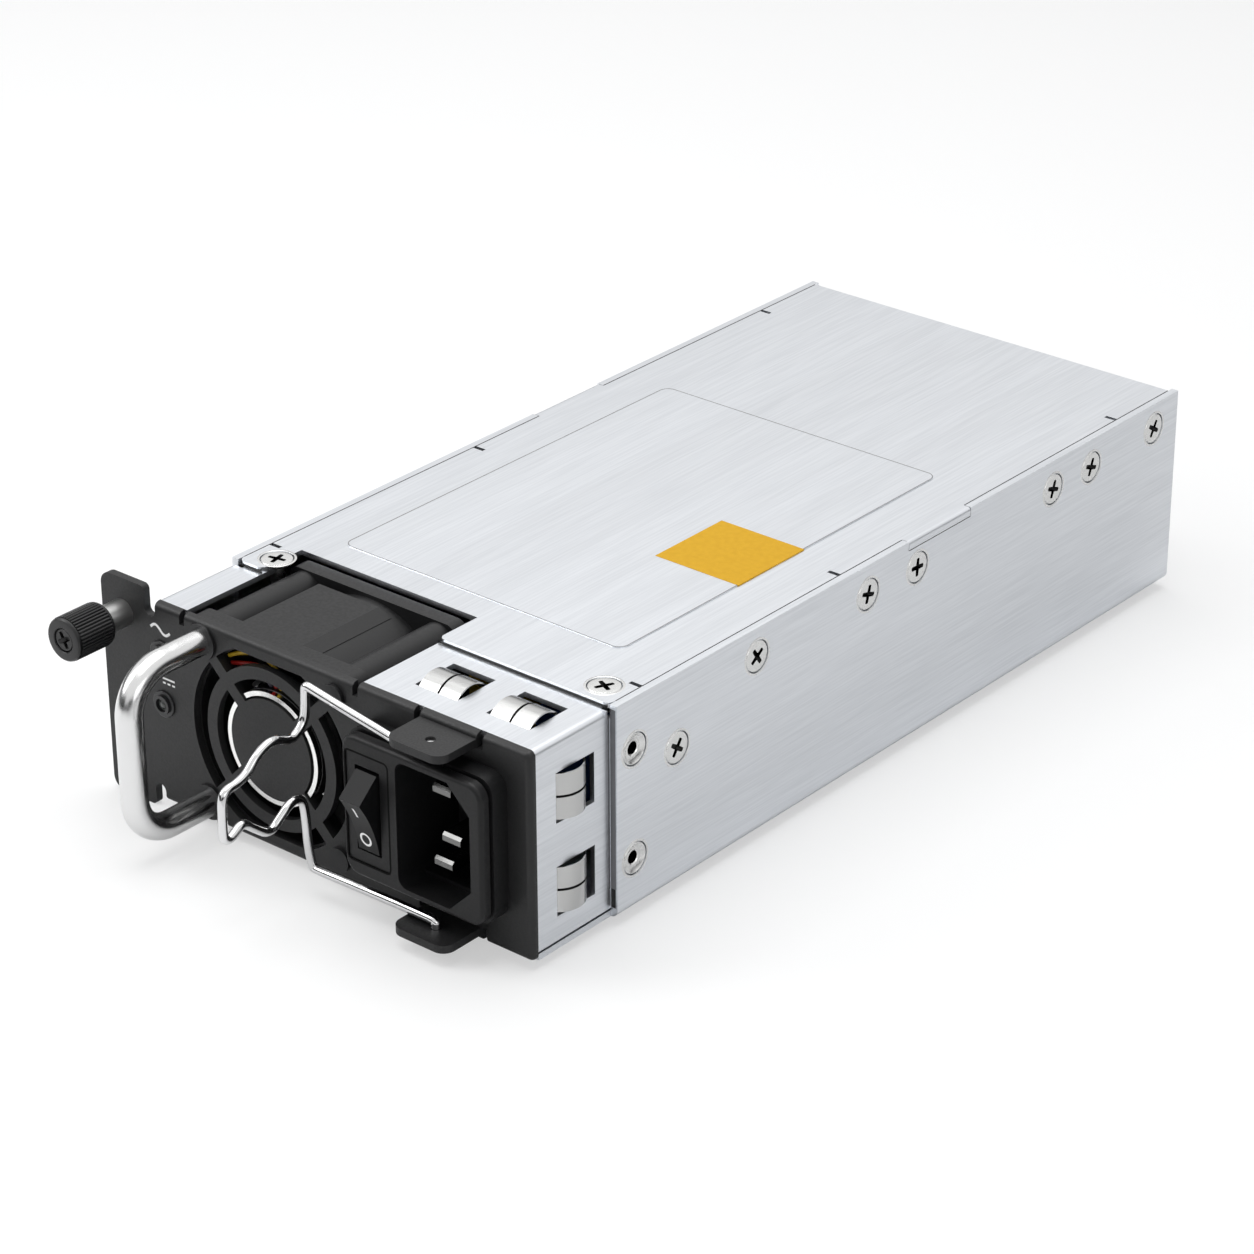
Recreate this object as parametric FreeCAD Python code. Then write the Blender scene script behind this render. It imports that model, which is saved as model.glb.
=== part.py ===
import FreeCAD, Part
import math
import os

V = FreeCAD.Vector

# Hot swap server power supply.  Millimetres, +Z up, +X to the right of someone who faces the
# front panel, +Y from the front panel to the rear.  Every piece is drawn with y = 0 on the
# front panel's face and z = 0 on the underside, and is moved when it is written, so that the
# origin of the part is the middle of the underside.

# ---- body ----
body_width = 90.0
body_length = 191.0
side_wall = 1.5
floor_sheet = 1.2
cover_sheet = 1.0
body_corner = 1.6
fit_gap = 0.1            # between flush sheet edges
nose_length = 20.3       # front panel face to the step in the body
nose_sheet = 1.0
nose_tongue = 7.0        # how far the nose brackets reach under the main shell
nose_bend = 1.2
nose_left_inset = 0.3    # left side of the nose behind the body's side
flush_seam = 0.45        # floor edge to nose bracket

# ---- cover tabs and slits ----
tab_start = 102.4
tab_length = 19.0
tab_drop = 1.8
slit_front = (28.6, 83.6)
slit_rear = 19.5         # last slit to the rear end
slit_width = 0.9
slit_length = 2.4

# ---- front panel and ear ----
panel_sheet = 1.5
panel_bend = 1.3
ear_reach = 13.0         # beyond the nose on the left
ear_rise = 2.3           # above the nose top
ear_drop = 1.7           # below the underside
ear_corner = 2.5
notch_width = 2.6
notch_depth = 1.8
notch_offset = 2.0       # far edge of the notch to the nose side
top_relief = 2.4         # slots beside the fan in the panel's top edge
panel_flange = 2.6

# ---- fan ----
fan_size = 40.0
fan_depth = 28.0
fan_x = -16.6
fan_hole_inset = 4.0     # screw holes to the frame's edges
fan_flange = 3.2
fan_bore_margin = 1.4    # thinnest place of the frame beside its bore
fan_barrel_wall = 0.7
fan_column_r = 3.7
fan_hole_r = 1.7
fan_tip_gap = 0.6
fan_hub_r = 12.2
fan_hub_wall = 1.0
fan_blades = 7
fan_blade_sheet = 1.0
fan_running = 0.6        # axial gap between the stator base and the rotor
fan_lead_r = 0.45
base_disc_r = 11.0
base_disc_depth = 2.6
base_ring = 0.9          # width of the bright ring on the stator base
base_ring_sink = 0.35    # ring's face behind the panel's face
shaft_r = 1.5
shaft_clearance = 0.05
bearing_r = 2.6
bearing_length = 3.0
bearing_wall = 0.8
yoke_wall = 1.0
magnet_wall = 0.9
stator_gap = 0.35
cover_gap_fan = 0.8

# ---- finger guard punched in the front panel ----
guard_disc_r = 9.6
guard_ring_in = 13.2
guard_ring_out = 15.6
guard_overlap = 0.4      # outer openings beyond the fan's bore
guard_flat = 2.8         # frame edge to where the outer openings are cut flat
guard_spoke = 2.4

# ---- pull handle ----
handle_rod_r = 2.5
handle_reach = 18.0      # panel face to the middle of the grip
handle_bend = 8.0
handle_washer_r = 3.4
handle_washer = 0.5
handle_thread_depth = 7.0
screw_r = 1.45
screw_head_r = 2.6
screw_head = 1.4

# ---- thumbscrew ----
thumb_from_edge = 5.3
thumb_below_top = 4.6    # below the nose top
ferrule_r = 2.65
ferrule_length = 6.4
ferrule_flare_r = 3.2
ferrule_flare = 0.7
knob_r = 4.2
knob_length = 9.0
knob_overlap = 1.0       # knob skirt over the ferrule when the screw is out
knob_skirt_depth = 6.6
knob_flutes = 20
knob_chamfer = 0.8
knob_dish = 0.5
thumb_neck_r = 1.45      # plain neck through knob, washer and ferrule
thumb_thread_r = 1.75    # thread behind the ferrule, which keeps the screw captive
thumb_thread_gap = 0.1   # ferrule flare to thread when the screw is out
thumb_thread_length = 2.9
thumb_thread_chamfer = 0.5
thumb_fit = 0.08
thumb_skirt_fit = 0.2
thrust_washer = 0.5
spring_wire_r = 0.2
spring_turns = 3.0

# ---- mains inlet and switch moulding ----
inlet_rise = 0.7         # above the middle of the nose
bezel_left = 6.4
bezel_width = 31.6
bezel_height = 27.0
bezel_face = 6.1         # proud of the panel
bezel_corner = 3.0
flange_step = 0.4
flange_depth = 3.6
groove_depth = 0.5
groove_inset = 1.0
socket_width = 16.6
socket_height = 24.2
socket_chamfer = 4.9
socket_corner = 2.0
socket_right_wall = 2.6  # socket edge to bezel edge
socket_depth = 15.5
body_wall = 1.6
pin_width = 4.0
pin_height = 2.0
pin_pitch = 14.0
pin_row = 6.9            # left socket wall to the middle of the line and neutral pins
pin_earth_offset = 4.0
pin_recess = 3.9
pin_earth_lead = 2.2
pin_tail = 6.0
cutout_gap = 0.2
switch_left = 0.95       # bezel edge to the switch frame
switch_width = 9.6
switch_height = 21.0
switch_fit = 0.1
switch_body_depth = 14.0
rocker_slot_width = 5.6
rocker_slot_height = 16.4
rocker_width = 4.7
rocker_pivot_depth = 2.6
rocker_trunnion_r = 1.0
rocker_trunnion_fit = 0.05
rocker_trunnion_length = 1.0
rocker_cavity = 9.0

# ---- bail and its tabs ----
bail_r = 0.85
bail_pivot_x = 26.0
bail_pivot_y = -4.8
bail_fit = 0.08
bail_arm = 28.8
bail_tab_gap = 0.55      # arm to the inner face of its tab
bail_end_sink = 0.4      # wire end below the tab's outer face
bail_loop_top = 0.8      # upper corner of the loop below the nose top
bail_loop_low = 3.6      # lower corner of the loop above the underside
bail_wrist_z = 7.8
bail_wrist_y = 0.9
bail_neck_z = 5.7
bail_neck_y = 3.6
bail_eye_z = 8.0
bail_eye_y = 9.2
bail_throat_z = 3.6
bail_throat_y = 15.2
bail_end_z = 4.5
bail_tail_y = 20.2
bail_hook_bend = 1.25
bail_arm_bend = 4.0
bail_corner_bend = 2.6
bail_wave_bend = 2.2
bail_end_bend = 1.9
bail_tab_left = 19.2
bail_tab_width = 12.6
bail_tab_reach = 9.0
bail_tab_sheet = 1.5
bail_tab_inset = 1.1     # below the nose top, above the underside
bail_tab_corner = 2.4
relief_width = 1.4
relief_depth = 2.8

# ---- status lights ----
light_inset = 1.7        # nose side to the middle of the lights
light_z = (20.2, 30.2)
light_holder_r = 2.6
light_holder_proud = 0.45
light_lip_r = 1.85
light_lip_proud = 0.95
light_r = 1.2
light_bore_gap = 0.1
light_collar_r = 1.5
light_collar = 0.8
light_length = 3.4

# ---- grounding springs ----
window_length = 9.8
window_start = 6.4
top_windows = (17.0, 33.1)
side_windows = (11.1, 29.0)
window_width = 9.6
spring_sheet = 0.25
spring_slit = 0.35
spring_margin = 0.45
spring_rise = 1.3
spring_sink = 0.75
spring_end_gap = 1.5
spring_tail = 3.0

# ---- fasteners ----
front_fastener_y = 25.0  # line of the cover screws and the rivets
cover_screw_x = 38.4
cap_r = 3.0
cap_height = 0.9
cap_fit = 0.12
cap_shank_r = 1.4
cap_shank = 4.0
cross_arm = 1.5
cross_width = 0.5
cross_depth = 0.6
side_screws_front = ((36.3, 14.4), (58.2, 5.6), (90.3, 5.9), (105.2, 6.1))   # from the front, from the top
side_screws_rear = ((42.5, 6.0), (29.8, 5.9), (8.2, 5.3))                    # from the rear, from the top
rivet_inset = 9.9        # from the underside and from the top
rivet_hole_r = 1.25

# ---- labels ----
label_sheet = 0.15
label_left = -33.2
label_right = 32.2
label_front = 36.7
label_rear = 128.6
label_corner = 2.0
marker_width = 19.0
marker_length = 19.0
marker_front = 68.7
marker_over = 0.2        # beyond the label's right edge

# ---- inside ----
board_sheet = 1.6
board_lift = 3.4
board_start = 34.0
board_end_gap = 5.0
board_side_gap = 3.0
standoff_r = 2.6
standoff_side = 3.5      # board side to standoff
standoff_end = 6.0       # board end to standoff
board_screw_r = 1.2
board_screw_head_r = 2.3
insulation_sheet = 0.4
insulation_short = 4.0
parts_margin = 7.0       # board side to the nearest part
parts_front = 5.0
parts_rear = 14.0
output_board_width = 58.0
output_board_lap = 12.0
output_board_reach = 7.0
contact_sheet = 0.12
contact_count = 9
vent_r = 1.7
vent_pitch = 4.6
rear_sheet = 1.2
rear_flange = 6.0
rear_slot_gap = 0.6
choke_r = 6.2
choke_winding_r = 3.2
bulk_r = 10.8
bulk_height = 28.0
can_gap = 1.0
film_length = 18.0
film_width = 8.0
film_height = 15.0
film_gap = 3.0
film_middle_x = -3.0
fuse_r = 2.6
fuse_length = 20.0
fuse_behind = 24.5       # behind the first part on the board
relay_length = 16.0
relay_width = 12.0
relay_height = 15.0
relay_x = 10.0
boost_r = 9.0
boost_winding_r = 5.0
boost_ahead = 28.0       # ahead of the board's middle
sink_wall = 2.2
sink_fin = 1.1
sink_fins = 5
primary_sink_length = 40.0
primary_sink_height = 27.0
primary_sink_fins_x = -10.5
secondary_sink_length = 26.0
secondary_sink_width = 12.0
secondary_sink_height = 28.0
package_length = 10.0
package_pitch = 12.0
package_depth = 4.6
core_width = 22.0
core_length = 30.0
core_height = 23.0
core_lift = 4.0
core_yoke = 5.0
winding_width = 25.0
winding_gap = 0.2
output_can_r = 4.1
output_can_height = 20.0
control_board_x = -4.0
control_board_length = 28.0
control_board_height = 24.0
control_board_sheet = 1.4

# ---- worked out from the sizes above ----
half_width = body_width / 2
nose_half = half_width - side_wall
nose_left = half_width - nose_left_inset
nose_top = fan_size
body_height = nose_top + cover_sheet
panel_left = -nose_left - ear_reach
thumb_x = panel_left + thumb_from_edge
thumb_z = nose_top - thumb_below_top
fan_z = fan_size / 2
fan_left = fan_x - fan_size / 2
fan_right = fan_x + fan_size / 2
fan_front = panel_sheet
fan_rear = fan_front + fan_depth
hole_at = fan_size / 2 - fan_hole_inset
fan_bore_r = fan_size / 2 - fan_bore_margin
shell_start = nose_length
rear_inside = body_length - rear_sheet
inlet_z = nose_top / 2 + inlet_rise
bail_x = bail_pivot_x - bail_arm
bail_inner_face = bail_tab_inset + bail_tab_sheet
bezel_bottom = inlet_z - bezel_height / 2
bezel_top = inlet_z + bezel_height / 2
bezel_right = bezel_left + bezel_width
socket_right = bezel_right - socket_right_wall
socket_left = socket_right - socket_width
switch_x = bezel_left + switch_left + switch_width / 2
rocker_y = -bezel_face + rocker_pivot_depth
handle_x = fan_x - hole_at
light_x = -nose_left + light_inset
side_screws_yz = [(y, body_height - z) for y, z in side_screws_front]
side_screws_yz += [(body_length - y, body_height - z) for y, z in side_screws_rear]
rivet_z = (rivet_inset, body_height - rivet_inset)
slit_stations = slit_front + (body_length - slit_rear,)
board_bottom = floor_sheet + board_lift
board_top = board_bottom + board_sheet
board_half = half_width - side_wall - board_side_gap
board_end = rear_inside - board_end_gap
board_middle = (board_start + board_end) / 2
parts_half = board_half - parts_margin
parts_first = board_start + parts_front
parts_last = board_end - parts_rear
rotor_front = fan_front + base_disc_depth + fan_running
knob_back = -ferrule_length + knob_overlap
knob_face = knob_back - knob_length
skirt_floor = knob_back - knob_skirt_depth
thread_start = panel_sheet + ferrule_flare + thumb_thread_gap


# ---------------------------------------------------------------- helpers
def box(x0, x1, y0, y1, z0, z1):
    return Part.makeBox(x1 - x0, y1 - y0, z1 - z0, V(x0, y0, z0))


def rod_y(x, z, radius, y0, y1):
    return Part.makeCylinder(radius, y1 - y0, V(x, y0, z), V(0, 1, 0))


def rod_z(x, y, radius, z0, z1):
    return Part.makeCylinder(radius, z1 - z0, V(x, y, z0), V(0, 0, 1))


def rod_x(y, z, radius, x0, x1):
    return Part.makeCylinder(radius, x1 - x0, V(x0, y, z), V(1, 0, 0))


def ring_y(x, z, outer, inner, y0, y1):
    return rod_y(x, z, outer, y0, y1).cut(rod_y(x, z, inner, y0 - 1, y1 + 1))


def face_of(points):
    return Part.Face(Part.makePolygon(points + [points[0]]))


def prism_x(points, x0, x1):
    return face_of([V(x0, y, z) for y, z in points]).extrude(V(x1 - x0, 0, 0))


def prism_y(points, y0, y1):
    return face_of([V(x, y0, z) for x, z in points]).extrude(V(0, y1 - y0, 0))


def prism_z(points, z0, z1):
    return face_of([V(x, y, z0) for x, y in points]).extrude(V(0, 0, z1 - z0))


def edges_along(shape, axis, wanted):
    """Straight edges of a shape that run along an axis and whose middle passes a test."""
    chosen = []
    for edge in shape.Edges:
        if edge.Curve.TypeId != "Part::GeomLine":
            continue
        run = edge.tangentAt(edge.FirstParameter)
        if abs(abs(run.dot(axis)) - 1) < 1e-6 and wanted(edge.CenterOfMass):
            chosen.append(edge)
    return chosen


def rounded(shape, radius, axis, wanted=lambda middle: True):
    return shape.makeFillet(radius, edges_along(shape, axis, wanted))


def fused(pieces):
    result = pieces[0]
    for piece in pieces[1:]:
        result = result.fuse(piece)
    return result.removeSplitter()


def cut_all(shape, tools):
    for tool in tools:
        shape = shape.cut(tool)
    return shape


def mirrored_x(shape):
    return shape.mirror(V(0, 0, 0), V(1, 0, 0))


def group(pieces):
    return Part.Compound(pieces)


def bent_path(points, radii):
    """Straight runs through the points, joined by arcs tangent to both runs."""
    edges = []
    start = points[0]
    for before, corner, after, radius in zip(points, points[1:], points[2:], radii):
        into = (corner - before).normalize()
        out = (after - corner).normalize()
        turn = math.acos(max(-1.0, min(1.0, into.dot(out))))
        reach = radius * math.tan(turn / 2)
        first = corner - into * reach
        last = corner + out * reach
        inward = (out - into).normalize()
        middle = corner + inward * (radius / math.cos(turn / 2) - radius)
        edges.append(Part.makeLine(start, first))
        edges.append(Part.Arc(first, middle, last).toShape())
        start = last
    edges.append(Part.makeLine(start, points[-1]))
    return Part.Wire(edges)


def bent_rod(points, radii, radius):
    path = bent_path(points, radii)
    run = (points[1] - points[0]).normalize()
    section = Part.Wire([Part.makeCircle(radius, points[0], run)])
    return path.makePipeShell([section], True, False)


# ---------------------------------------------------------------- sheet-metal body
def chassis_tray():
    """Floor and both side walls, bent from one sheet, with the fan's cut-out in the floor."""
    shell = box(-half_width, half_width, shell_start, body_length, 0, body_height)
    shell = rounded(shell, body_corner, V(0, 1, 0), lambda m: m.z < body_height / 2)
    inside = box(-half_width + side_wall, half_width - side_wall, shell_start - 1, body_length + 1,
                 floor_sheet, body_height + 1)
    tray = shell.cut(inside)
    tray = fused([tray, box(-nose_left, nose_half, panel_sheet, shell_start + 1, 0, floor_sheet)])
    gap = cover_gap_fan
    tray = tray.cut(box(fan_left - gap, fan_right + gap, 0, fan_rear + gap, -1, floor_sheet + 1))
    low = body_height - tab_drop
    tray = tray.cut(box(-half_width - 1, half_width + 1, tab_start - fit_gap,
                        tab_start + tab_length + fit_gap, low, body_height + 1))
    for side in (-1, 1):
        for y, z in side_screws_yz:
            tray = cut_all(tray, screw_seat_side(side, y, z))
        for z in rivet_z:
            tray = cut_all(tray, screw_seat_side(side, front_fastener_y, z))
    return tray


def screw_seat_side(side, y, z):
    """Recess and clearance hole for a flat head in a side wall."""
    outer = side * half_width
    seat = Part.makeCylinder(cap_r + cap_fit, cap_height, V(outer, y, z), V(-side, 0, 0))
    hole = Part.makeCylinder(cap_shank_r + cap_fit, side_wall + 1, V(outer, y, z), V(-side, 0, 0))
    return [seat, hole]


def top_cover():
    """Flat sheet between the side walls, open over the fan, with a turned-down tab each side."""
    edge = half_width - side_wall - fit_gap
    cover = box(-edge, edge, shell_start, rear_inside, nose_top, body_height)
    gap = cover_gap_fan
    cover = cover.cut(box(fan_left - gap, fan_right + gap + 0.8, shell_start - 1, fan_rear + gap,
                          nose_top - 1, body_height + 1))
    cover = rounded(cover, 1.4, V(0, 0, 1), lambda m: m.y < shell_start + 0.5)
    low = body_height - tab_drop + fit_gap
    for side in (-1, 1):
        inner, outer = sorted((side * (edge - 1), side * half_width))
        tab = box(inner, outer, tab_start, tab_start + tab_length, nose_top, body_height)
        near, far = sorted((side * (half_width - side_wall + fit_gap), side * half_width))
        tab = fused([tab, box(near, far, tab_start, tab_start + tab_length, low, body_height)])
        tab = rounded(tab, 0.7, V(0, 1, 0),
                      lambda m: abs(m.x) > half_width - 0.1 and m.z > body_height - 0.1)
        cover = fused([cover, tab])
        for y in slit_stations:
            near, far = sorted((side * (edge - slit_length), side * (edge + fit_gap)))
            cover = cover.cut(box(near, far, y - slit_width / 2, y + slit_width / 2,
                                  nose_top - 1, body_height + 1))
        x = side * cover_screw_x
        cover = cover.cut(rod_z(x, front_fastener_y, cap_r + cap_fit, body_height - cap_height,
                                body_height + 1))
        cover = cover.cut(rod_z(x, front_fastener_y, cap_shank_r + cap_fit, nose_top - 1, body_height))
    return cover


def nose_bracket(side):
    """Bent bracket of the nose: side wall, strip of top, and a tongue under the main shell.

    On the left the wall is nearly flush with the body, so it joggles inward to its tongue."""
    end = shell_start + nose_tongue
    step = shell_start - fit_gap
    outer = nose_half if side > 0 else nose_left
    inner_x = fan_right + 1.6 if side > 0 else -(fan_left - cover_gap_fan)
    low = floor_sheet + flush_seam
    wall = box(inner_x, outer, panel_sheet, step, low, nose_top)
    wall = rounded(wall, nose_bend, V(0, 1, 0), lambda m: m.x > outer - 0.1 and m.z > nose_top - 0.1)
    inside = box(inner_x - 1, outer - nose_sheet, panel_sheet - 1, step - nose_sheet, low - 1,
                 nose_top - nose_sheet)
    tongue = box(inner_x, nose_half, step - nose_sheet, end, low, nose_top)
    channel = box(inner_x - 1, nose_half - nose_sheet, step - nose_sheet - 1, end + 1, low - 1,
                  nose_top - nose_sheet)
    bracket = cut_all(fused([wall, tongue]), [inside, channel])
    bracket = bracket.cut(box(nose_half - nose_bend - 0.3, half_width + 1, step - 0.5, end + 1,
                              nose_top - nose_bend - 0.3, nose_top + 1))
    if side > 0:
        y0, y1 = window_start, window_start + window_length
        half = window_width / 2
        for x in top_windows:
            bracket = bracket.cut(box(x - half, x + half, y0, y1, nose_top - 2, nose_top + 1))
        for z in side_windows:
            bracket = bracket.cut(box(nose_half - 2, nose_half + 1, y0, y1, z - half, z + half))
    else:
        reach = light_collar_r + 0.3
        for z in light_z:
            bracket = bracket.cut(box(-light_x - reach, outer + 1, 0, light_length + 0.3,
                                      z - reach, z + reach))
    for z in rivet_z:
        bracket = bracket.cut(rod_x(front_fastener_y, z, cap_shank_r + cap_fit, nose_half - 2,
                                    nose_half + 1))
    bracket = bracket.cut(rod_z(cover_screw_x, front_fastener_y, cap_shank_r + cap_fit,
                                nose_top - 2, nose_top + 1))
    return bracket if side > 0 else mirrored_x(bracket)


def spring_finger(width):
    """One bowed finger, arched along Y, with its flat tail under the sheet.  Sheet top is z = 0."""
    start = window_start + 0.3
    stop = window_start + window_length - spring_end_gap
    tail = window_start - spring_tail
    under = -nose_sheet - spring_sheet
    top_y = start + (stop - start) * 0.5
    outer = Part.Arc(V(0, start, -spring_sink), V(0, top_y, spring_rise), V(0, stop, -spring_sink))
    arc = outer.toShape()
    inner = Part.Arc(V(0, start + spring_sheet, -spring_sink - spring_sheet),
                     V(0, top_y, spring_rise - spring_sheet),
                     V(0, stop - spring_sheet, -spring_sink - spring_sheet)).toShape()
    a, b = arc.valueAt(arc.FirstParameter), arc.valueAt(arc.LastParameter)
    c, d = inner.valueAt(inner.FirstParameter), inner.valueAt(inner.LastParameter)
    bow = Part.Face(Part.Wire([arc, Part.makeLine(b, d), inner, Part.makeLine(c, a)]))
    bow = bow.extrude(V(width, 0, 0))
    foot = prism_x([(tail, under + spring_sheet), (window_start, under + spring_sheet),
                    (start, -spring_sink), (start + spring_sheet, -spring_sink - spring_sheet),
                    (start - 0.1, under), (tail, under)], 0, width)
    return fused([bow, foot])


def spring_clip():
    """A pair of fingers side by side, centred on x = 0, joined by the tail strip."""
    width = window_width - 2 * spring_margin
    finger = (width - spring_slit) / 2
    left, right = spring_finger(finger), spring_finger(finger)
    left.translate(V(-width / 2, 0, 0))
    right.translate(V(width / 2 - finger, 0, 0))
    under = -nose_sheet - spring_sheet
    strip = box(-width / 2, width / 2, window_start - spring_tail, window_start - 1.2, under,
                under + spring_sheet)
    return fused([left, right, strip])


def springs_top():
    clips = []
    for x in top_windows:
        clip = spring_clip()
        clip.translate(V(x, 0, nose_top))
        clips.append(clip)
    return group(clips)


def springs_right():
    clips = []
    for z in side_windows:
        clip = spring_clip()
        clip.rotate(V(0, 0, 0), V(0, 1, 0), 90)
        clip.translate(V(nose_half, 0, z))
        clips.append(clip)
    return group(clips)


def rear_panel():
    """Rear sheet with round exhaust holes and the slot for the output board."""
    edge = half_width - side_wall
    panel = box(-edge, edge, rear_inside, body_length, floor_sheet, nose_top)
    flange = box(-edge, edge, rear_inside - rear_flange, rear_inside + 0.5, floor_sheet,
                 floor_sheet + rear_sheet)
    panel = fused([panel, flange])
    slot = output_board_width / 2 + rear_slot_gap
    panel = panel.cut(box(-slot, slot, rear_inside - rear_flange - 1, body_length + 1,
                          board_bottom - rear_slot_gap, board_top + rear_slot_gap))
    rows = int((nose_top - board_top - 7) / (vent_pitch * 0.866)) + 1
    columns = int((2 * edge - 8) / vent_pitch)
    for row in range(rows):
        z = board_top + 4.5 + row * vent_pitch * 0.866
        shift = vent_pitch / 2 if row % 2 else 0
        for column in range(columns):
            x = (column - (columns - 1) / 2) * vent_pitch + shift - vent_pitch / 4
            panel = panel.cut(rod_y(x, z, vent_r, rear_inside - 1, body_length + 1))
    return panel


# ---------------------------------------------------------------- front panel
def panel_outline():
    """Panel with the ear on the left; a notch above and below parts the ear from the body."""
    notch_left = -nose_left - notch_offset
    notch_right = notch_left + notch_width
    top, low = nose_top, 0
    ear = box(panel_left, notch_left, 0, panel_sheet, -ear_drop, nose_top + ear_rise)
    ear = rounded(ear, ear_corner, V(0, 1, 0), lambda m: m.x < panel_left + 0.1)
    ear = rounded(ear, 1.0, V(0, 1, 0), lambda m: m.x > notch_left - 0.1)
    web = box(notch_left - ear_corner, notch_right + 1, 0, panel_sheet, low + notch_depth,
              top - notch_depth)
    web = web.cut(rod_y(notch_left + notch_width / 2, top - notch_depth, notch_width / 2, -1,
                        panel_sheet + 1))
    web = web.cut(rod_y(notch_left + notch_width / 2, low + notch_depth, notch_width / 2, -1,
                        panel_sheet + 1))
    body = box(notch_right, nose_half, 0, panel_sheet, low, top)
    body = rounded(body, panel_bend - 0.1, V(1, 0, 0), lambda m: m.y < 0.1)
    body = rounded(body, panel_bend - 0.2, V(0, 0, 1), lambda m: m.y < 0.1 and m.x > nose_half - 0.1)
    return fused([ear, web, body])


def guard_spokes(width):
    """Two crossed diagonal bars through the middle of the guard."""
    reach = fan_size / 2 + 2
    spokes = []
    for angle in (45, 135):
        bar = box(-reach, reach, -2, panel_sheet + 2, -width / 2, width / 2)
        bar.rotate(V(0, 0, 0), V(0, 1, 0), angle)
        bar.translate(V(fan_x, 0, fan_z))
        spokes.append(bar)
    return spokes


def guard_openings():
    """Two rings of openings around the disc, parted by four diagonal spokes."""
    depth0, depth1 = -1, panel_sheet + 1
    rim = fan_bore_r + guard_overlap
    flat = fan_size / 2 - guard_flat
    outer = ring_y(fan_x, fan_z, rim, guard_ring_out, depth0, depth1)
    outer = outer.common(box(fan_x - rim, fan_x + rim, depth0, depth1, fan_z - flat, fan_z + flat))
    inner = ring_y(fan_x, fan_z, guard_ring_in, guard_disc_r, depth0, depth1)
    spokes = guard_spokes(guard_spoke)
    return [cut_all(outer, spokes), cut_all(inner, spokes)]


def bail_tab(upward):
    """Tab bent out of the panel edge, with a round hole for the bail's hook."""
    right = bail_tab_left + bail_tab_width
    outer_z = nose_top - bail_tab_inset if upward else bail_tab_inset
    inner_z = outer_z - bail_tab_sheet if upward else outer_z + bail_tab_sheet
    z0, z1 = sorted((outer_z, inner_z))
    tab = box(bail_tab_left, right, -bail_tab_reach, panel_sheet, z0, z1)
    tab = rounded(tab, bail_tab_corner, V(0, 0, 1), lambda m: m.y < -bail_tab_reach + 0.1)
    return tab.cut(rod_z(bail_pivot_x, bail_pivot_y, bail_r + bail_fit, z0 - 1, z1 + 1))


def front_panel():
    """Black bent sheet: ear, finger guard, inlet cut-out, bail tabs and inner flanges."""
    panel = panel_outline()
    right = bail_tab_left + bail_tab_width
    for z0, z1 in ((-1, relief_depth), (nose_top - relief_depth, nose_top + 1)):
        for x in (bail_tab_left - relief_width, right):
            panel = panel.cut(box(x, x + relief_width, -1, panel_sheet + 1, z0, z1))
    for x in (fan_left - cover_gap_fan - 0.6, fan_right + 0.3):
        panel = panel.cut(box(x, x + 1.2, -1, panel_sheet + 1, nose_top - top_relief, nose_top + 1))
    top_in = nose_top - nose_sheet
    side_in = nose_half - nose_sheet
    flange_end = panel_sheet + panel_flange - 1.3
    flanges = [box(fan_right + 3, side_in, panel_sheet - 0.2, flange_end, top_in - 1.0, top_in),
               box(side_in - 1.0, side_in, panel_sheet - 0.2, flange_end, 3.0, top_in)]
    panel = fused([panel, bail_tab(True), bail_tab(False)] + flanges)
    panel = cut_all(panel, guard_openings())
    gap = cutout_gap
    body_left = switch_x - switch_width / 2 - body_wall
    panel = panel.cut(box(body_left - gap, socket_right + body_wall + gap, -1, panel_sheet + 3,
                          inlet_z - socket_height / 2 - body_wall + 1.5 - gap,
                          inlet_z + socket_height / 2 + body_wall - 1.5 + gap))
    for z in light_z:
        panel = panel.cut(rod_y(light_x, z, light_r + light_bore_gap, -1, panel_sheet + 1))
    for x in (handle_x, fan_x + hole_at):
        for z in (fan_z - hole_at, fan_z + hole_at):
            panel = panel.cut(rod_y(x, z, fan_hole_r, -1, panel_sheet + 1))
    return panel.cut(rod_y(thumb_x, thumb_z, ferrule_r, -1, panel_sheet + 1))


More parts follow.
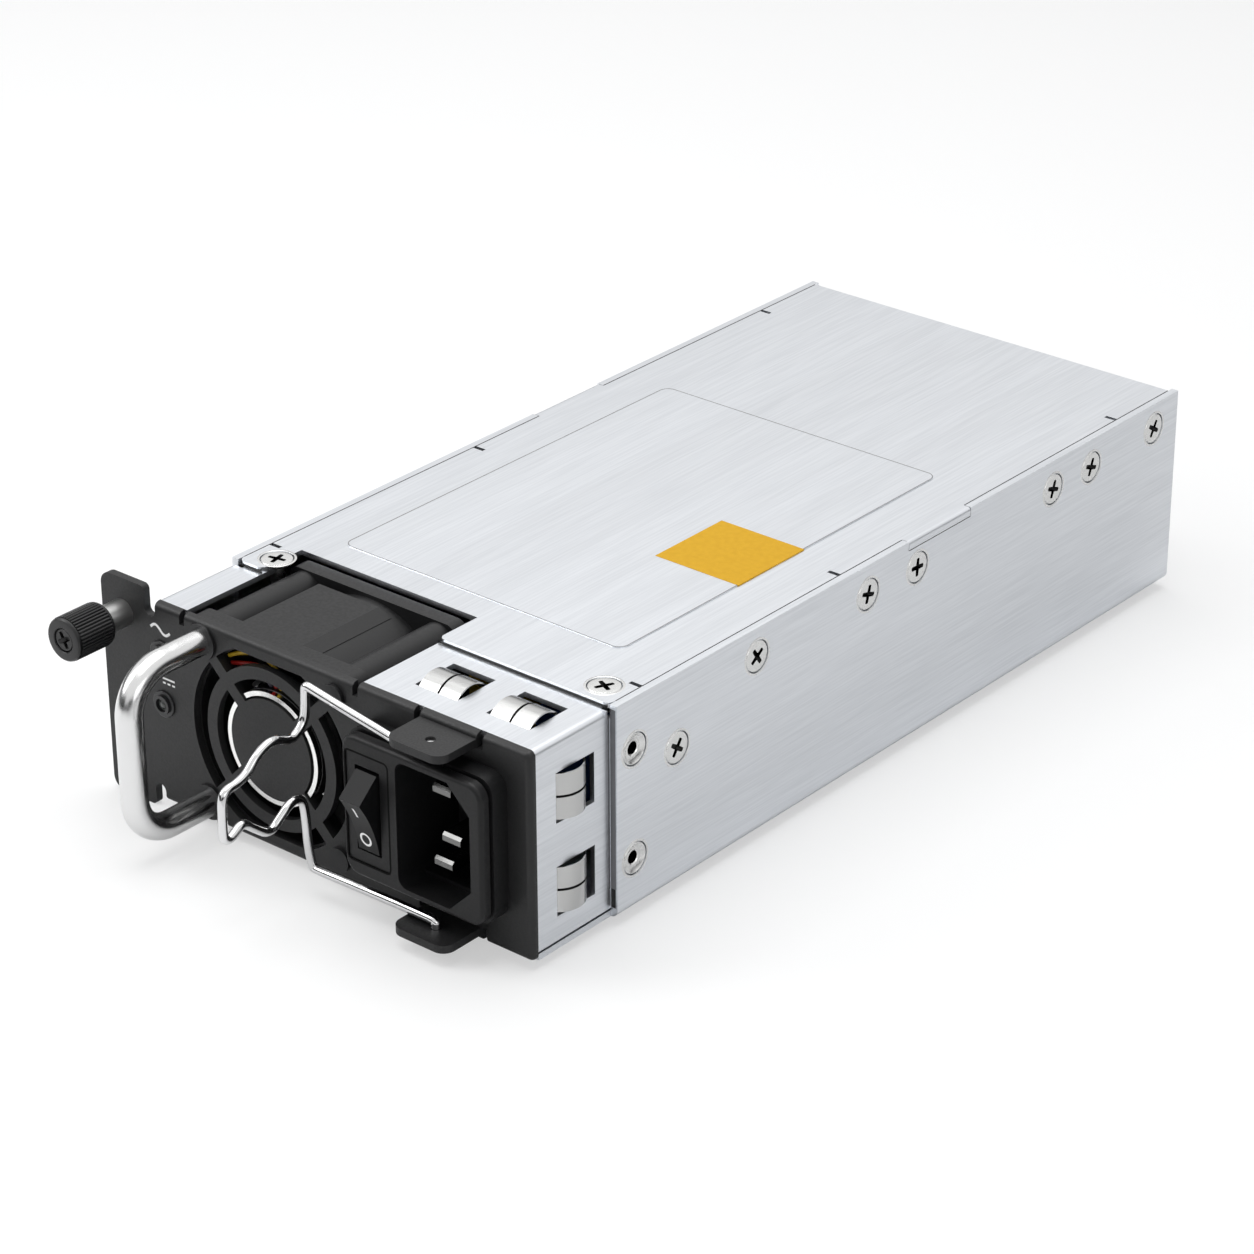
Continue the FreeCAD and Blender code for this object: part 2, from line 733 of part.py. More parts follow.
# ---------------------------------------------------------------- fan
def fan_frame():
    """Flanged 40 mm frame: thin barrel, four corner columns, stator base and its struts."""
    half = fan_size / 2
    y0, y1 = fan_front, fan_rear
    low, high = fan_z - half, fan_z + half
    flanges = [box(fan_left, fan_right, y0, y0 + fan_flange, low, high),
               box(fan_left, fan_right, y1 - fan_flange, y1, low, high)]
    flanges = [rounded(f, 2.2, V(0, 1, 0)) for f in flanges]
    barrel = rod_y(fan_x, fan_z, fan_bore_r + fan_barrel_wall, y0, y1)
    pad = prism_y([(fan_x - 11, fan_z + 14), (fan_x - 11, high - 0.5), (fan_x + 3.5, high - 0.5),
                   (fan_x + 6.5, high - 1.7), (fan_x + 6.5, fan_z + 14)], y0 + 1, y1 - 5)
    columns = []
    holes = []
    for x in (fan_x - hole_at, fan_x + hole_at):
        for z in (fan_z - hole_at, fan_z + hole_at):
            columns.append(rod_y(x, z, fan_column_r, y0, y1))
            holes.append(rod_y(x, z, fan_hole_r, y0 - 1, y1 + 1))
    frame = fused(flanges + [barrel, pad] + columns)
    frame = frame.cut(rod_y(fan_x, fan_z, fan_bore_r, y0 - 1, y1 + 1))
    base = rod_y(fan_x, fan_z, base_disc_r, y0, y0 + base_disc_depth)
    tube_end = rotor_front + 2 * bearing_length + 8
    carrier = rod_y(fan_x, fan_z, bearing_r + bearing_wall, y0, tube_end)
    struts = []
    for angle in (45, 135, 225, 315):
        strut = box(base_disc_r - 1, fan_bore_r + 0.4, y0, y0 + base_disc_depth - 0.6, -0.9, 0.9)
        strut.rotate(V(0, 0, 0), V(0, 1, 0), angle)
        strut.translate(V(fan_x, 0, fan_z))
        struts.append(strut)
    frame = fused([frame, base, carrier] + struts)
    frame = frame.cut(rod_y(fan_x, fan_z, bearing_r, y0 + 1.2, tube_end + 1))
    return cut_all(frame, holes)


def fan_bearings():
    front = fan_front + 1.2
    back = rotor_front + 2 * bearing_length + 8
    bore = shaft_r + shaft_clearance
    return group([ring_y(fan_x, fan_z, bearing_r, bore, front, front + bearing_length),
                  ring_y(fan_x, fan_z, bearing_r, bore, back - bearing_length, back)])


def fan_stator():
    """Wound core on the bearing carrier."""
    outer = fan_hub_r - fan_hub_wall - yoke_wall - magnet_wall - stator_gap
    inner = bearing_r + bearing_wall
    start = fan_front + base_disc_depth
    core = ring_y(fan_x, fan_z, outer, inner, start + 2.5, start + 9.5)
    for index in range(4):
        slot = box(4.6, 12, start, start + 12, -0.7, 0.7)
        slot.rotate(V(0, 0, 0), V(0, 1, 0), 45 + 90 * index)
        slot.translate(V(fan_x, 0, fan_z))
        core = core.cut(slot)
    winding = ring_y(fan_x, fan_z, outer - 1.2, inner, start, start + 2.5)
    return fused([core, winding])


def blade_section(radius, chord, pitch, camber, lean):
    """Cambered blade profile across a radius: two arcs closed by short ends."""
    half = chord / 2
    tilt = math.radians(pitch)
    middle = rotor_front + 8.6

    def place(along, above):
        t = along * math.cos(tilt) - above * math.sin(tilt) + lean
        y = along * math.sin(tilt) + above * math.cos(tilt)
        return V(radius, middle + y, t)

    thick = fan_blade_sheet / 2
    upper = Part.Arc(place(-half, thick * 0.6), place(0, camber + thick), place(half, thick * 0.6))
    lower = Part.Arc(place(half, -thick * 0.6), place(0, camber - thick), place(-half, -thick * 0.6))
    up, down = upper.toShape(), lower.toShape()
    ends = [Part.makeLine(place(half, thick * 0.6), place(half, -thick * 0.6)),
            Part.makeLine(place(-half, -thick * 0.6), place(-half, thick * 0.6))]
    return Part.Wire([up, ends[0], down, ends[1]])


def fan_impeller():
    """Moulded hub cup with swept blades."""
    tip = fan_bore_r - fan_tip_gap
    back = rotor_front + 17.0
    cup = rod_y(fan_x, fan_z, fan_hub_r, rotor_front + 0.6, back)
    cup = rounded_rim(cup, 1.2, back)
    cup = cup.cut(rod_y(fan_x, fan_z, fan_hub_r - fan_hub_wall, rotor_front - 1, back - 1.6))
    blade = Part.makeLoft([blade_section(fan_hub_r - 0.5, 12.5, 48, 1.0, 0.0),
                           blade_section(fan_hub_r + 2.8, 13.0, 41, 1.1, 0.6),
                           blade_section(tip + 1.2, 13.6, 34, 1.2, 1.8)], True, False)
    sleeve = ring_y(0, 0, tip, fan_hub_r - 0.4, rotor_front, rotor_front + 18)
    blade = blade.common(sleeve)
    blades = []
    for index in range(fan_blades):
        copy = blade.copy()
        copy.rotate(V(0, 0, 0), V(0, 1, 0), 360 / fan_blades * index)
        copy.translate(V(fan_x, 0, fan_z))
        blades.append(copy)
    impeller = fused([cup] + blades)
    return impeller.cut(rod_y(fan_x, fan_z, shaft_r, back - 2, back + 1))


def rounded_rim(shape, radius, at_y):
    rims = [e for e in shape.Edges if e.Curve.TypeId == "Part::GeomCircle" and abs(e.CenterOfMass.y - at_y) < 0.01]
    return shape.makeFillet(radius, rims)


def fan_yoke():
    outer = fan_hub_r - fan_hub_wall
    return ring_y(fan_x, fan_z, outer, outer - yoke_wall, rotor_front, rotor_front + 14)


def fan_magnet():
    outer = fan_hub_r - fan_hub_wall - yoke_wall
    return ring_y(fan_x, fan_z, outer, outer - magnet_wall, rotor_front + 1.2, rotor_front + 12)


def fan_shaft():
    return rod_y(fan_x, fan_z, shaft_r, fan_front + 1.4, rotor_front + 17.0)


def fan_base_ring():
    """Bright ring on the stator base, round the guard's disc, parted where the spokes pass."""
    outer = base_disc_r - 0.1
    ring = ring_y(fan_x, fan_z, outer, outer - base_ring, base_ring_sink, fan_front)
    return group(cut_all(ring, guard_spokes(guard_spoke + 0.4)).Solids)


def fan_leads():
    """Three leads up from the stator base, then side by side to the bore's upper left."""
    leads = []
    y = fan_front + fan_lead_r + 0.6
    pitch = 2 * fan_lead_r + 0.1
    for index in range(3):
        x = fan_x - 2.4 + index * pitch
        z = fan_z + fan_bore_r - 3.0 + index * pitch
        points = [V(x, y, fan_z + base_disc_r - 2), V(x, y, z), V(fan_x - fan_bore_r, y, z)]
        lead = bent_rod(points, [1.2], fan_lead_r)
        lead = lead.cut(rod_y(fan_x, fan_z, base_disc_r, y - 2, y + 2))
        leads.append(lead.common(rod_y(fan_x, fan_z, fan_bore_r, y - 2, y + 2)))
    return group(leads)


def fan_screws():
    """Long screws through the fan's corners: two draw in the handle, two clinch in the panel."""
    screws = []
    for x in (fan_x - hole_at, fan_x + hole_at):
        for z in (fan_z - hole_at, fan_z + hole_at):
            tip = -handle_washer - handle_thread_depth if x < fan_x else -0.7
            shank = rod_y(x, z, screw_r, tip, fan_rear + 0.2)
            head = rod_y(x, z, screw_head_r, fan_rear, fan_rear + screw_head)
            parts = [shank, head]
            if x > fan_x:
                parts.append(rod_y(x, z, screw_head_r - 0.3, -0.7, 0))
            screws.append(fused(parts))
    return group(screws)


# ---------------------------------------------------------------- handle and thumbscrew
def pull_handle():
    low, high = fan_z - hole_at, fan_z + hole_at
    points = [V(handle_x, -handle_washer, high), V(handle_x, -handle_reach, high),
              V(handle_x, -handle_reach, low), V(handle_x, -handle_washer, low)]
    handle = bent_rod(points, [handle_bend, handle_bend], handle_rod_r)
    for z in (low, high):
        handle = handle.cut(rod_y(handle_x, z, screw_r, -handle_washer - handle_thread_depth, 0))
    return handle


def handle_washers():
    return group([ring_y(handle_x, z, handle_washer_r, fan_hole_r, -handle_washer, 0)
                  for z in (fan_z - hole_at, fan_z + hole_at)])


def thumbscrew_ferrule():
    body = rod_y(thumb_x, thumb_z, ferrule_r, -ferrule_length, panel_sheet)
    flare = rod_y(thumb_x, thumb_z, ferrule_flare_r, panel_sheet, panel_sheet + ferrule_flare)
    whole = fused([body, flare])
    return whole.cut(rod_y(thumb_x, thumb_z, thumb_neck_r + thumb_fit, -ferrule_length - 1,
                           panel_sheet + ferrule_flare + 1))


def thumbscrew_knob():
    """Fluted knob whose skirt slides over the ferrule."""
    knob = rod_y(thumb_x, thumb_z, knob_r, knob_face, knob_back)
    rims = [e for e in knob.Edges if e.Curve.TypeId == "Part::GeomCircle"]
    knob = knob.makeChamfer(knob_chamfer / 2, rims)
    for index in range(knob_flutes):
        angle = 2 * math.pi * index / knob_flutes
        x = thumb_x + (knob_r + 0.25) * math.cos(angle)
        z = thumb_z + (knob_r + 0.25) * math.sin(angle)
        knob = knob.cut(rod_y(x, z, 0.45, knob_face + knob_chamfer, knob_back + 1))
    knob = knob.cut(rod_y(thumb_x, thumb_z, ferrule_r + thumb_skirt_fit, skirt_floor, knob_back + 1))
    knob = knob.cut(rod_y(thumb_x, thumb_z, thumb_neck_r, knob_face - 1, skirt_floor + 1))
    dish = rod_y(thumb_x, thumb_z, knob_r - 1.4, knob_face - 1, knob_face + knob_dish)
    return knob.cut(dish)


def thumbscrew_screw():
    """Captive screw: cross recess, plain neck, and a thread too big for the ferrule's bore."""
    tip = thread_start + thumb_thread_length
    neck = rod_y(thumb_x, thumb_z, thumb_neck_r, knob_face + knob_dish, thread_start + 0.5)
    thread = rod_y(thumb_x, thumb_z, thumb_thread_r, thread_start, tip)
    end = [e for e in thread.Edges if e.Curve.TypeId == "Part::GeomCircle" and e.CenterOfMass.y > tip - 0.1]
    screw = fused([neck, thread.makeChamfer(thumb_thread_chamfer, end)])
    for turn in (0, 90):
        bar = box(-1.1, 1.1, knob_face, knob_face + 1.7, -0.3, 0.3)
        bar.rotate(V(0, 0, 0), V(0, 1, 0), 45 + turn)
        bar.translate(V(thumb_x, 0, thumb_z))
        screw = screw.cut(bar)
    return screw


def thumbscrew_washer():
    return ring_y(thumb_x, thumb_z, ferrule_r, thumb_neck_r + thumb_fit, skirt_floor + 0.05,
                  skirt_floor + 0.05 + thrust_washer)


def thumbscrew_spring():
    """Return spring between the thrust washer and the ferrule's end."""
    start = skirt_floor + 0.05 + thrust_washer + spring_wire_r
    stop = -ferrule_length - spring_wire_r
    coil_r = (ferrule_r + thumb_neck_r + thumb_fit) / 2
    pitch = (stop - start) / spring_turns
    helix = Part.makeLongHelix(pitch, stop - start, coil_r)
    section = Part.Wire([Part.makeCircle(spring_wire_r, V(coil_r, 0, 0), V(0, 2 * math.pi * coil_r, pitch))])
    coil = Part.Wire(helix.Edges).makePipeShell([section], True, True)
    coil.rotate(V(0, 0, 0), V(1, 0, 0), -90)
    coil.translate(V(thumb_x, start, thumb_z))
    return coil


# ---------------------------------------------------------------- bail
def bail_wire():
    """One wire: a hook in each tab, an arm above and below, and a waved tail to grip the cord."""
    y = bail_pivot_y
    middle = (nose_top - bail_loop_top + bail_loop_low) / 2
    beyond_tab = bail_tab_left - 1.5
    tail = [(bail_wrist_z, bail_wrist_y, bail_wave_bend), (bail_neck_z, bail_neck_y, bail_wave_bend),
            (bail_eye_z, bail_eye_y, bail_wave_bend), (bail_throat_z, bail_throat_y, bail_wave_bend),
            (bail_end_z, bail_tail_y, bail_end_bend)]
    halves = []
    for up in (1, -1):
        outer_face = nose_top - bail_tab_inset if up > 0 else bail_tab_inset
        arm_z = nose_top - bail_inner_face if up > 0 else bail_inner_face
        arm_z -= up * (bail_tab_gap + bail_r)
        corner_z = nose_top - bail_loop_top if up > 0 else bail_loop_low
        points = [V(bail_pivot_x, y, outer_face - up * bail_end_sink), V(bail_pivot_x, y, arm_z),
                  V(beyond_tab, y, arm_z), V(bail_x, y, corner_z)]
        radii = [bail_hook_bend, bail_arm_bend, bail_corner_bend]
        for height, out, bend in tail:
            points.append(V(bail_x, y - out, middle + up * height))
            radii.append(bend)
        halves.append((points, radii))
    (upper, bends), (lower, low_bends) = halves
    return bent_rod(upper + lower[::-1], bends + low_bends[::-1], bail_r)


# ---------------------------------------------------------------- inlet and switch
def rounded_plate(left, right, low, high, y0, y1, corner):
    return rounded(box(left, right, y0, y1, low, high), corner, V(0, 1, 0))


def socket_shape(y0, y1):
    """Inlet opening: a rectangle with two chamfered corners on its earth side."""
    low, high = inlet_z - socket_height / 2, inlet_z + socket_height / 2
    c = socket_chamfer
    points = [(socket_left, low), (socket_right - c, low), (socket_right, low + c),
              (socket_right, high - c), (socket_right - c, high), (socket_left, high)]
    shape = prism_y(points, y0, y1)
    return rounded(shape, socket_corner, V(0, 1, 0), lambda m: m.x < socket_left + 0.1)


def pin_places():
    row = socket_left + pin_row
    face = -bezel_face + pin_recess
    return [(row, inlet_z - pin_pitch / 2, face), (row, inlet_z + pin_pitch / 2, face),
            (row + pin_earth_offset, inlet_z, face - pin_earth_lead)]


def pin_blade(x, z, face, back):
    blade = box(x - pin_width / 2, x + pin_width / 2, face, back, z - pin_height / 2, z + pin_height / 2)
    edges = edges_along(blade, V(1, 0, 0), lambda m: m.y < face + 0.1)
    return blade.makeChamfer(0.5, edges)


def inlet_pins():
    back = -bezel_face + socket_depth + body_wall + pin_tail
    return group([pin_blade(x, z, face, back) for x, z, face in pin_places()])


def inlet_housing():
    """Moulded mains inlet: stepped flange and bezel, socket, and the body behind the panel."""
    step = flange_step
    flange = rounded_plate(bezel_left - step, bezel_right + step, bezel_bottom - step,
                           bezel_top + step, -flange_depth, 0, bezel_corner)
    neck = rounded_plate(bezel_left + groove_inset, bezel_right - groove_inset,
                         bezel_bottom + groove_inset, bezel_top - groove_inset,
                         -flange_depth - groove_depth, -flange_depth + 0.1, bezel_corner)
    bezel = rounded_plate(bezel_left, bezel_right, bezel_bottom, bezel_top, -bezel_face,
                          -flange_depth - groove_depth, bezel_corner)
    rim = [e for e in bezel.Edges if abs(e.CenterOfMass.y + bezel_face) < 0.01]
    bezel = bezel.makeFillet(0.8, rim)
    floor_y = -bezel_face + socket_depth
    low = inlet_z - socket_height / 2 - body_wall + 1.5
    high = inlet_z + socket_height / 2 + body_wall - 1.5
    body_left = switch_x - switch_width / 2 - body_wall
    body = box(body_left, socket_right + body_wall, -0.5, floor_y + body_wall, low, high)
    whole = fused([flange, neck, bezel, body])
    whole = whole.cut(socket_shape(-bezel_face - 1, floor_y).common(
        box(socket_left - 1, socket_right + 1, -bezel_face - 2, floor_y, low + 0.9, high - 0.9)))
    whole = whole.cut(socket_shape(-bezel_face - 1, 0))
    fit = switch_fit
    whole = whole.cut(box(switch_x - switch_width / 2 - fit, switch_x + switch_width / 2 + fit,
                          -bezel_face - 1, floor_y + body_wall + 1,
                          inlet_z - switch_height / 2 - fit, inlet_z + switch_height / 2 + fit))
    for x, z, face in pin_places():
        whole = whole.cut(box(x - pin_width / 2, x + pin_width / 2, floor_y - 1, floor_y + 4,
                              z - pin_height / 2, z + pin_height / 2))
    return whole


def switch_body():
    """Rocker switch body with its framed window."""
    half_h = switch_height / 2
    half_w = switch_width / 2
    body = box(switch_x - half_w, switch_x + half_w, -bezel_face + 0.2, -bezel_face + switch_body_depth,
               inlet_z - half_h, inlet_z + half_h)
    body = body.cut(box(switch_x - rocker_slot_width / 2, switch_x + rocker_slot_width / 2,
                        -bezel_face - 1, -bezel_face + rocker_cavity,
                        inlet_z - rocker_slot_height / 2, inlet_z + rocker_slot_height / 2))
    reach = rocker_width / 2 + rocker_trunnion_length + 0.2
    return body.cut(rod_x(rocker_y, inlet_z, rocker_trunnion_r + rocker_trunnion_fit,
                          switch_x - reach, switch_x + reach))


def switch_rocker():
    """Rocker in the off position: upper half out, lower half in, on two trunnions."""
    def at(y, z):
        return V(switch_x - rocker_width / 2, rocker_y + y, inlet_z + z)

    edge, peak, toe = at(-2.6, 7.55), at(-7.0, 3.6), at(-2.5, -7.8)
    hollow = Part.Arc(peak, at(-4.3, -1.4), toe).toShape()
    back = [toe, at(0.5, -7.1), at(2.2, 0), at(0.5, 7.1), edge]
    edges = [Part.makeLine(edge, peak), hollow]
    edges += [Part.makeLine(a, b) for a, b in zip(back, back[1:])]
    rocker = Part.Face(Part.Wire(edges)).extrude(V(rocker_width, 0, 0))
    reach = rocker_width / 2 + rocker_trunnion_length
    return fused([rocker, rod_x(rocker_y, inlet_z, rocker_trunnion_r, switch_x - reach, switch_x + reach)])


# ---------------------------------------------------------------- lights
def light_holders():
    """Flanged rings on the panel's face with a raised lip round each lens."""
    bore = light_r + light_bore_gap
    holders = []
    for z in light_z:
        flange = rod_y(light_x, z, light_holder_r, -light_holder_proud, 0)
        rim = [e for e in flange.Edges if abs(e.CenterOfMass.y + light_holder_proud) < 0.01]
        lip = rod_y(light_x, z, light_lip_r, -light_lip_proud, 0)
        holder = fused([flange.makeFillet(0.25, rim), lip])
        holders.append(holder.cut(rod_y(light_x, z, bore, -light_lip_proud - 1, 1)))
    return group(holders)


def light_pipes():
    pipes = []
    face = -light_lip_proud + 0.25
    for z in light_z:
        pipe = rod_y(light_x, z, light_r, face + 0.3, light_length)
        dome = Part.makeSphere(light_r, V(light_x, face + light_r - 0.1, z))
        keep = box(light_x - 3, light_x + 3, face - 0.2, face + light_r, z - 3, z + 3)
        collar = rod_y(light_x, z, light_collar_r, panel_sheet, panel_sheet + light_collar)
        pipes.append(fused([pipe, dome.common(keep), collar]))
    return group(pipes)


# ---------------------------------------------------------------- fasteners and labels
def cross_head(shank):
    """Flat-head screw with its head's face on z = 0, pointing down."""
    head = Part.makeCylinder(cap_r, cap_height, V(0, 0, -cap_height))
    body = fused([head, Part.makeCylinder(cap_shank_r, shank, V(0, 0, -cap_height - shank + 0.1))])
    for turn in (0, 90):
        bar = box(-cross_arm, cross_arm, -cross_width / 2, cross_width / 2, -cross_depth, 1)
        bar.rotate(V(0, 0, 0), V(0, 0, 1), 20 + turn)
        body = body.cut(bar)
    return body


def cover_screws():
    screws = []
    for side in (-1, 1):
        screw = cross_head(cap_shank)
        screw.translate(V(side * cover_screw_x, front_fastener_y, body_height))
        screws.append(screw)
    return group(screws)


def side_screws():
    screws = []
    for side in (-1, 1):
        for y, z in side_screws_yz:
            screw = cross_head(cap_shank)
            screw.rotate(V(0, 0, 0), V(0, 1, 0), 90 * side)
            screw.translate(V(side * half_width, y, z))
            screws.append(screw)
    return group(screws)


def side_rivets():
    rivets = []
    for side in (-1, 1):
        for z in rivet_z:
            head = Part.makeCylinder(cap_r, cap_height, V(0, 0, -cap_height))
            shank = Part.makeCylinder(cap_shank_r + 0.1, 2.6, V(0, 0, -cap_height - 2.5))
            rivet = fused([head, shank])
            rivet = rivet.cut(Part.makeCylinder(rivet_hole_r, 6, V(0, 0, -5)))
            rivet.rotate(V(0, 0, 0), V(0, 1, 0), 90 * side)
            rivet.translate(V(side * half_width, front_fastener_y, z))
            rivets.append(rivet)
    return group(rivets)


def marker_outline(z0, z1):
    right = label_right + marker_over
    return box(right - marker_width, right, marker_front, marker_front + marker_length, z0, z1)


def rating_label():
    sheet = box(label_left, label_right, label_front, label_rear, body_height, body_height + label_sheet)
    sheet = rounded(sheet, label_corner, V(0, 0, 1))
    return sheet.cut(marker_outline(body_height - 1, body_height + 1))


def marker_label():
    return marker_outline(body_height, body_height + label_sheet + 0.05)


# ---------------------------------------------------------------- electronics
def standoff_places():
    across = board_half - standoff_side
    along = (board_start + standoff_end, board_middle, board_end - standoff_end)
    return [(x, y) for x in (-across, across) for y in along]


def main_board():
    board = box(-board_half, board_half, board_start, board_end, board_bottom, board_top)
    for x, y in standoff_places():
        board = board.cut(rod_z(x, y, board_screw_r + 0.2, board_bottom - 1, board_top + 1))
    slot = output_board_width / 2 + 0.2
    return board.cut(box(-slot, slot, board_end - output_board_lap, board_end + 1, board_bottom - 1,
                         board_top + 1))


def board_standoffs():
    posts = []
    for x, y in standoff_places():
        post = rod_z(x, y, standoff_r, floor_sheet, board_bottom)
        posts.append(post.cut(rod_z(x, y, board_screw_r, floor_sheet - 1, board_bottom + 1)))
    return group(posts)


def board_screws():
    screws = []
    for x, y in standoff_places():
        shank = rod_z(x, y, board_screw_r, floor_sheet + 0.2, board_top + 0.1)
        screws.append(fused([shank, rod_z(x, y, board_screw_head_r, board_top, board_top + 1.3)]))
    return group(screws)


def insulation():
    sheet = box(-board_half, board_half, board_start, board_end - insulation_short, floor_sheet,
                floor_sheet + insulation_sheet)
    for x, y in standoff_places():
        sheet = sheet.cut(rod_z(x, y, standoff_r + 0.2, floor_sheet - 1, floor_sheet + 2))
    return sheet


def output_board():
    half = output_board_width / 2
    return box(-half, half, board_end - output_board_lap, body_length + output_board_reach,
               board_bottom, board_top)


def output_contacts():
    """Gold contact strips on both faces of the output board's free edge."""
    pads = []
    pitch = (output_board_width - 4) / contact_count
    for index in range(contact_count):
        x = -output_board_width / 2 + 2 + pitch * (index + 0.5)
        half = pitch * 0.38
        y0, y1 = body_length + 0.6, body_length + output_board_reach - 0.6
        pads.append(box(x - half, x + half, y0, y1, board_top, board_top + contact_sheet))
        pads.append(box(x - half, x + half, y0, y1, board_bottom - contact_sheet, board_bottom))
    return group(pads)


def on_board(x0, x1, y0, y1, height, corner=0.8):
    return rounded(box(x0, x1, y0, y1, board_top, board_top + height), corner, V(0, 0, 1))


def capacitor(x, y, radius, height):
    can = rod_z(x, y, radius, board_top, board_top + height)
    rims = [e for e in can.Edges if e.Curve.TypeId == "Part::GeomCircle" and e.CenterOfMass.z > board_top + 1]
    can = can.makeFillet(0.8, rims)
    groove = Part.makeTorus(radius + 0.25, 0.6, V(x, y, board_top + 2.2), V(0, 0, 1))
    return can.cut(groove)


def bulk_capacitors():
    x = -parts_half + bulk_r
    reach = bulk_r + can_gap
    return group([capacitor(x, y, bulk_r, bulk_height) for y in (board_middle - reach, board_middle + reach)])


def output_capacitors():
    pitch = 2 * output_can_r + can_gap
    cans = []
    for column in range(3):
        for row in range(2):
            x = parts_half - output_can_r - column * pitch
            y = parts_last - output_can_r - can_gap - row * pitch
            cans.append(capacitor(x, y, output_can_r, output_can_height))
    return group(cans)


def filter_choke():
    reach = choke_r + choke_winding_r
    middle = V(-parts_half + reach, parts_first + reach, board_top + choke_winding_r)
    return Part.makeTorus(choke_r, choke_winding_r, middle, V(0, 0, 1))


def boost_inductor():
    reach = boost_r + boost_winding_r
    x, y = parts_half - reach, board_middle - boost_ahead
    ring = Part.makeTorus(boost_r, boost_winding_r, V(x, y, board_top + reach), V(0, 1, 0))
    foot = box(x - 11, x + 11, y - boost_winding_r, y + boost_winding_r, board_top, board_top + 1.4)
    return fused([ring, foot])


def film_capacitors():
    left, right = film_middle_x - film_length / 2, film_middle_x + film_length / 2
    behind = parts_first + film_width + film_gap
    return group([on_board(left, right, y, y + film_width, film_height) for y in (parts_first, behind)])


def mains_fuse():
    y, z = parts_first + fuse_behind, board_top + fuse_r + 0.6
    left, right = film_middle_x - fuse_length / 2, film_middle_x + fuse_length / 2
    clips = [box(x, x + 4, y - fuse_r - 0.2, y + fuse_r + 0.2, board_top, z) for x in (left - 1, right - 3)]
    return fused([rod_x(y, z, fuse_r, left, right)] + clips)


def inrush_relay():
    return on_board(relay_x, relay_x + relay_length, parts_first, parts_first + relay_width, relay_height)


def finned_sink(wall_x, tip_x, y0, y1, height):
    """Extruded heatsink: a wall with fins along Y that reach from it to tip_x."""
    z0, z1 = board_top, board_top + height
    inward = 1 if tip_x > wall_x else -1
    near, far = sorted((wall_x, wall_x + inward * sink_wall))
    pieces = [box(near, far, y0, y1, z0, z1)]
    near, far = sorted((wall_x + inward * (sink_wall - 0.2), tip_x))
    for index in range(sink_fins):
        z = z0 + 3 + (height - 4.5) * index / (sink_fins - 1)
        pieces.append(box(near, far, y0, y1, z, z + sink_fin))
    return fused(pieces)


def primary_heatsink():
    half = primary_sink_length / 2
    return finned_sink(0, primary_sink_fins_x, board_middle - half, board_middle + half, primary_sink_height)


def secondary_heatsink():
    return finned_sink(-parts_half, -parts_half + secondary_sink_width, parts_last - secondary_sink_length,
                       parts_last, secondary_sink_height)


def power_transistors():
    """Flat packages clamped on the primary heatsink's wall."""
    cans = []
    for index in (-1, 0, 1):
        y = board_middle + index * package_pitch
        cans.append(box(0, package_depth, y - package_length / 2, y + package_length / 2,
                        board_top + 6, board_top + 22))
    return group(cans)


def transformer_place():
    return parts_half - winding_width / 2, board_middle + 2


def transformer_core():
    """E-shaped core: two outer yokes and a middle leg through the winding's window."""
    x, y = transformer_place()
    half_w, half_l = core_width / 2, core_length / 2
    low, high = board_top + core_lift, board_top + core_lift + core_height
    block = box(x - half_w, x + half_w, y - half_l, y + half_l, low, high)
    window = box(x - half_w - 1, x + half_w + 1, y - half_l + core_yoke, y + half_l - core_yoke,
                 low + 4.5, high - 4.5)
    leg = box(x - half_w / 2, x + half_w / 2, y - half_l + core_yoke, y + half_l - core_yoke,
              low + 4.4, high - 4.4)
    return fused([block.cut(window), leg])


def transformer_winding():
    """Two coil halves beside the middle leg, each on a foot that reaches the board."""
    x, y = transformer_place()
    half = core_length / 2 - core_yoke - 2 * winding_gap
    low, high = board_top + core_lift + 4.5, board_top + core_lift + core_height - 4.5
    halves = []
    for side in (-1, 1):
        outer = x + side * winding_width / 2
        near, far = sorted((x + side * (core_width / 4 + winding_gap), outer))
        coil = box(near, far, y - half, y + half, low + winding_gap, high - winding_gap)
        foot0, foot1 = sorted((x + side * (core_width / 2 + winding_gap), outer))
        foot = box(foot0, foot1, y - half, y + half, board_top, low + 1)
        halves.append(fused([coil, foot]))
    return group(halves)


def control_board():
    """Upright board with two chips on its right face."""
    face = control_board_x + control_board_sheet
    back = parts_last - 2
    board = box(control_board_x, face, back - control_board_length, back, board_top,
                board_top + control_board_height)
    chips = [box(face, face + 1.4, back - 24, back - 16, board_top + 8, board_top + 16),
             box(face, face + 1.2, back - 11, back - 5, board_top + 10, board_top + 15)]
    return fused([board] + chips)


# ---------------------------------------------------------------- write the pieces
def write(node, shape):
    shape = shape.copy()
    shape.translate(V(0, -body_length / 2, 0))
    solids = shape.Solids
    if not solids or not shape.isValid():
        raise RuntimeError(node + " is not a sound solid")
    shape.exportStep(os.path.join("parts", node + ".step"))
    print("%-22s solids %2d  volume %10.1f" % (node, len(solids), sum(s.Volume for s in solids)))


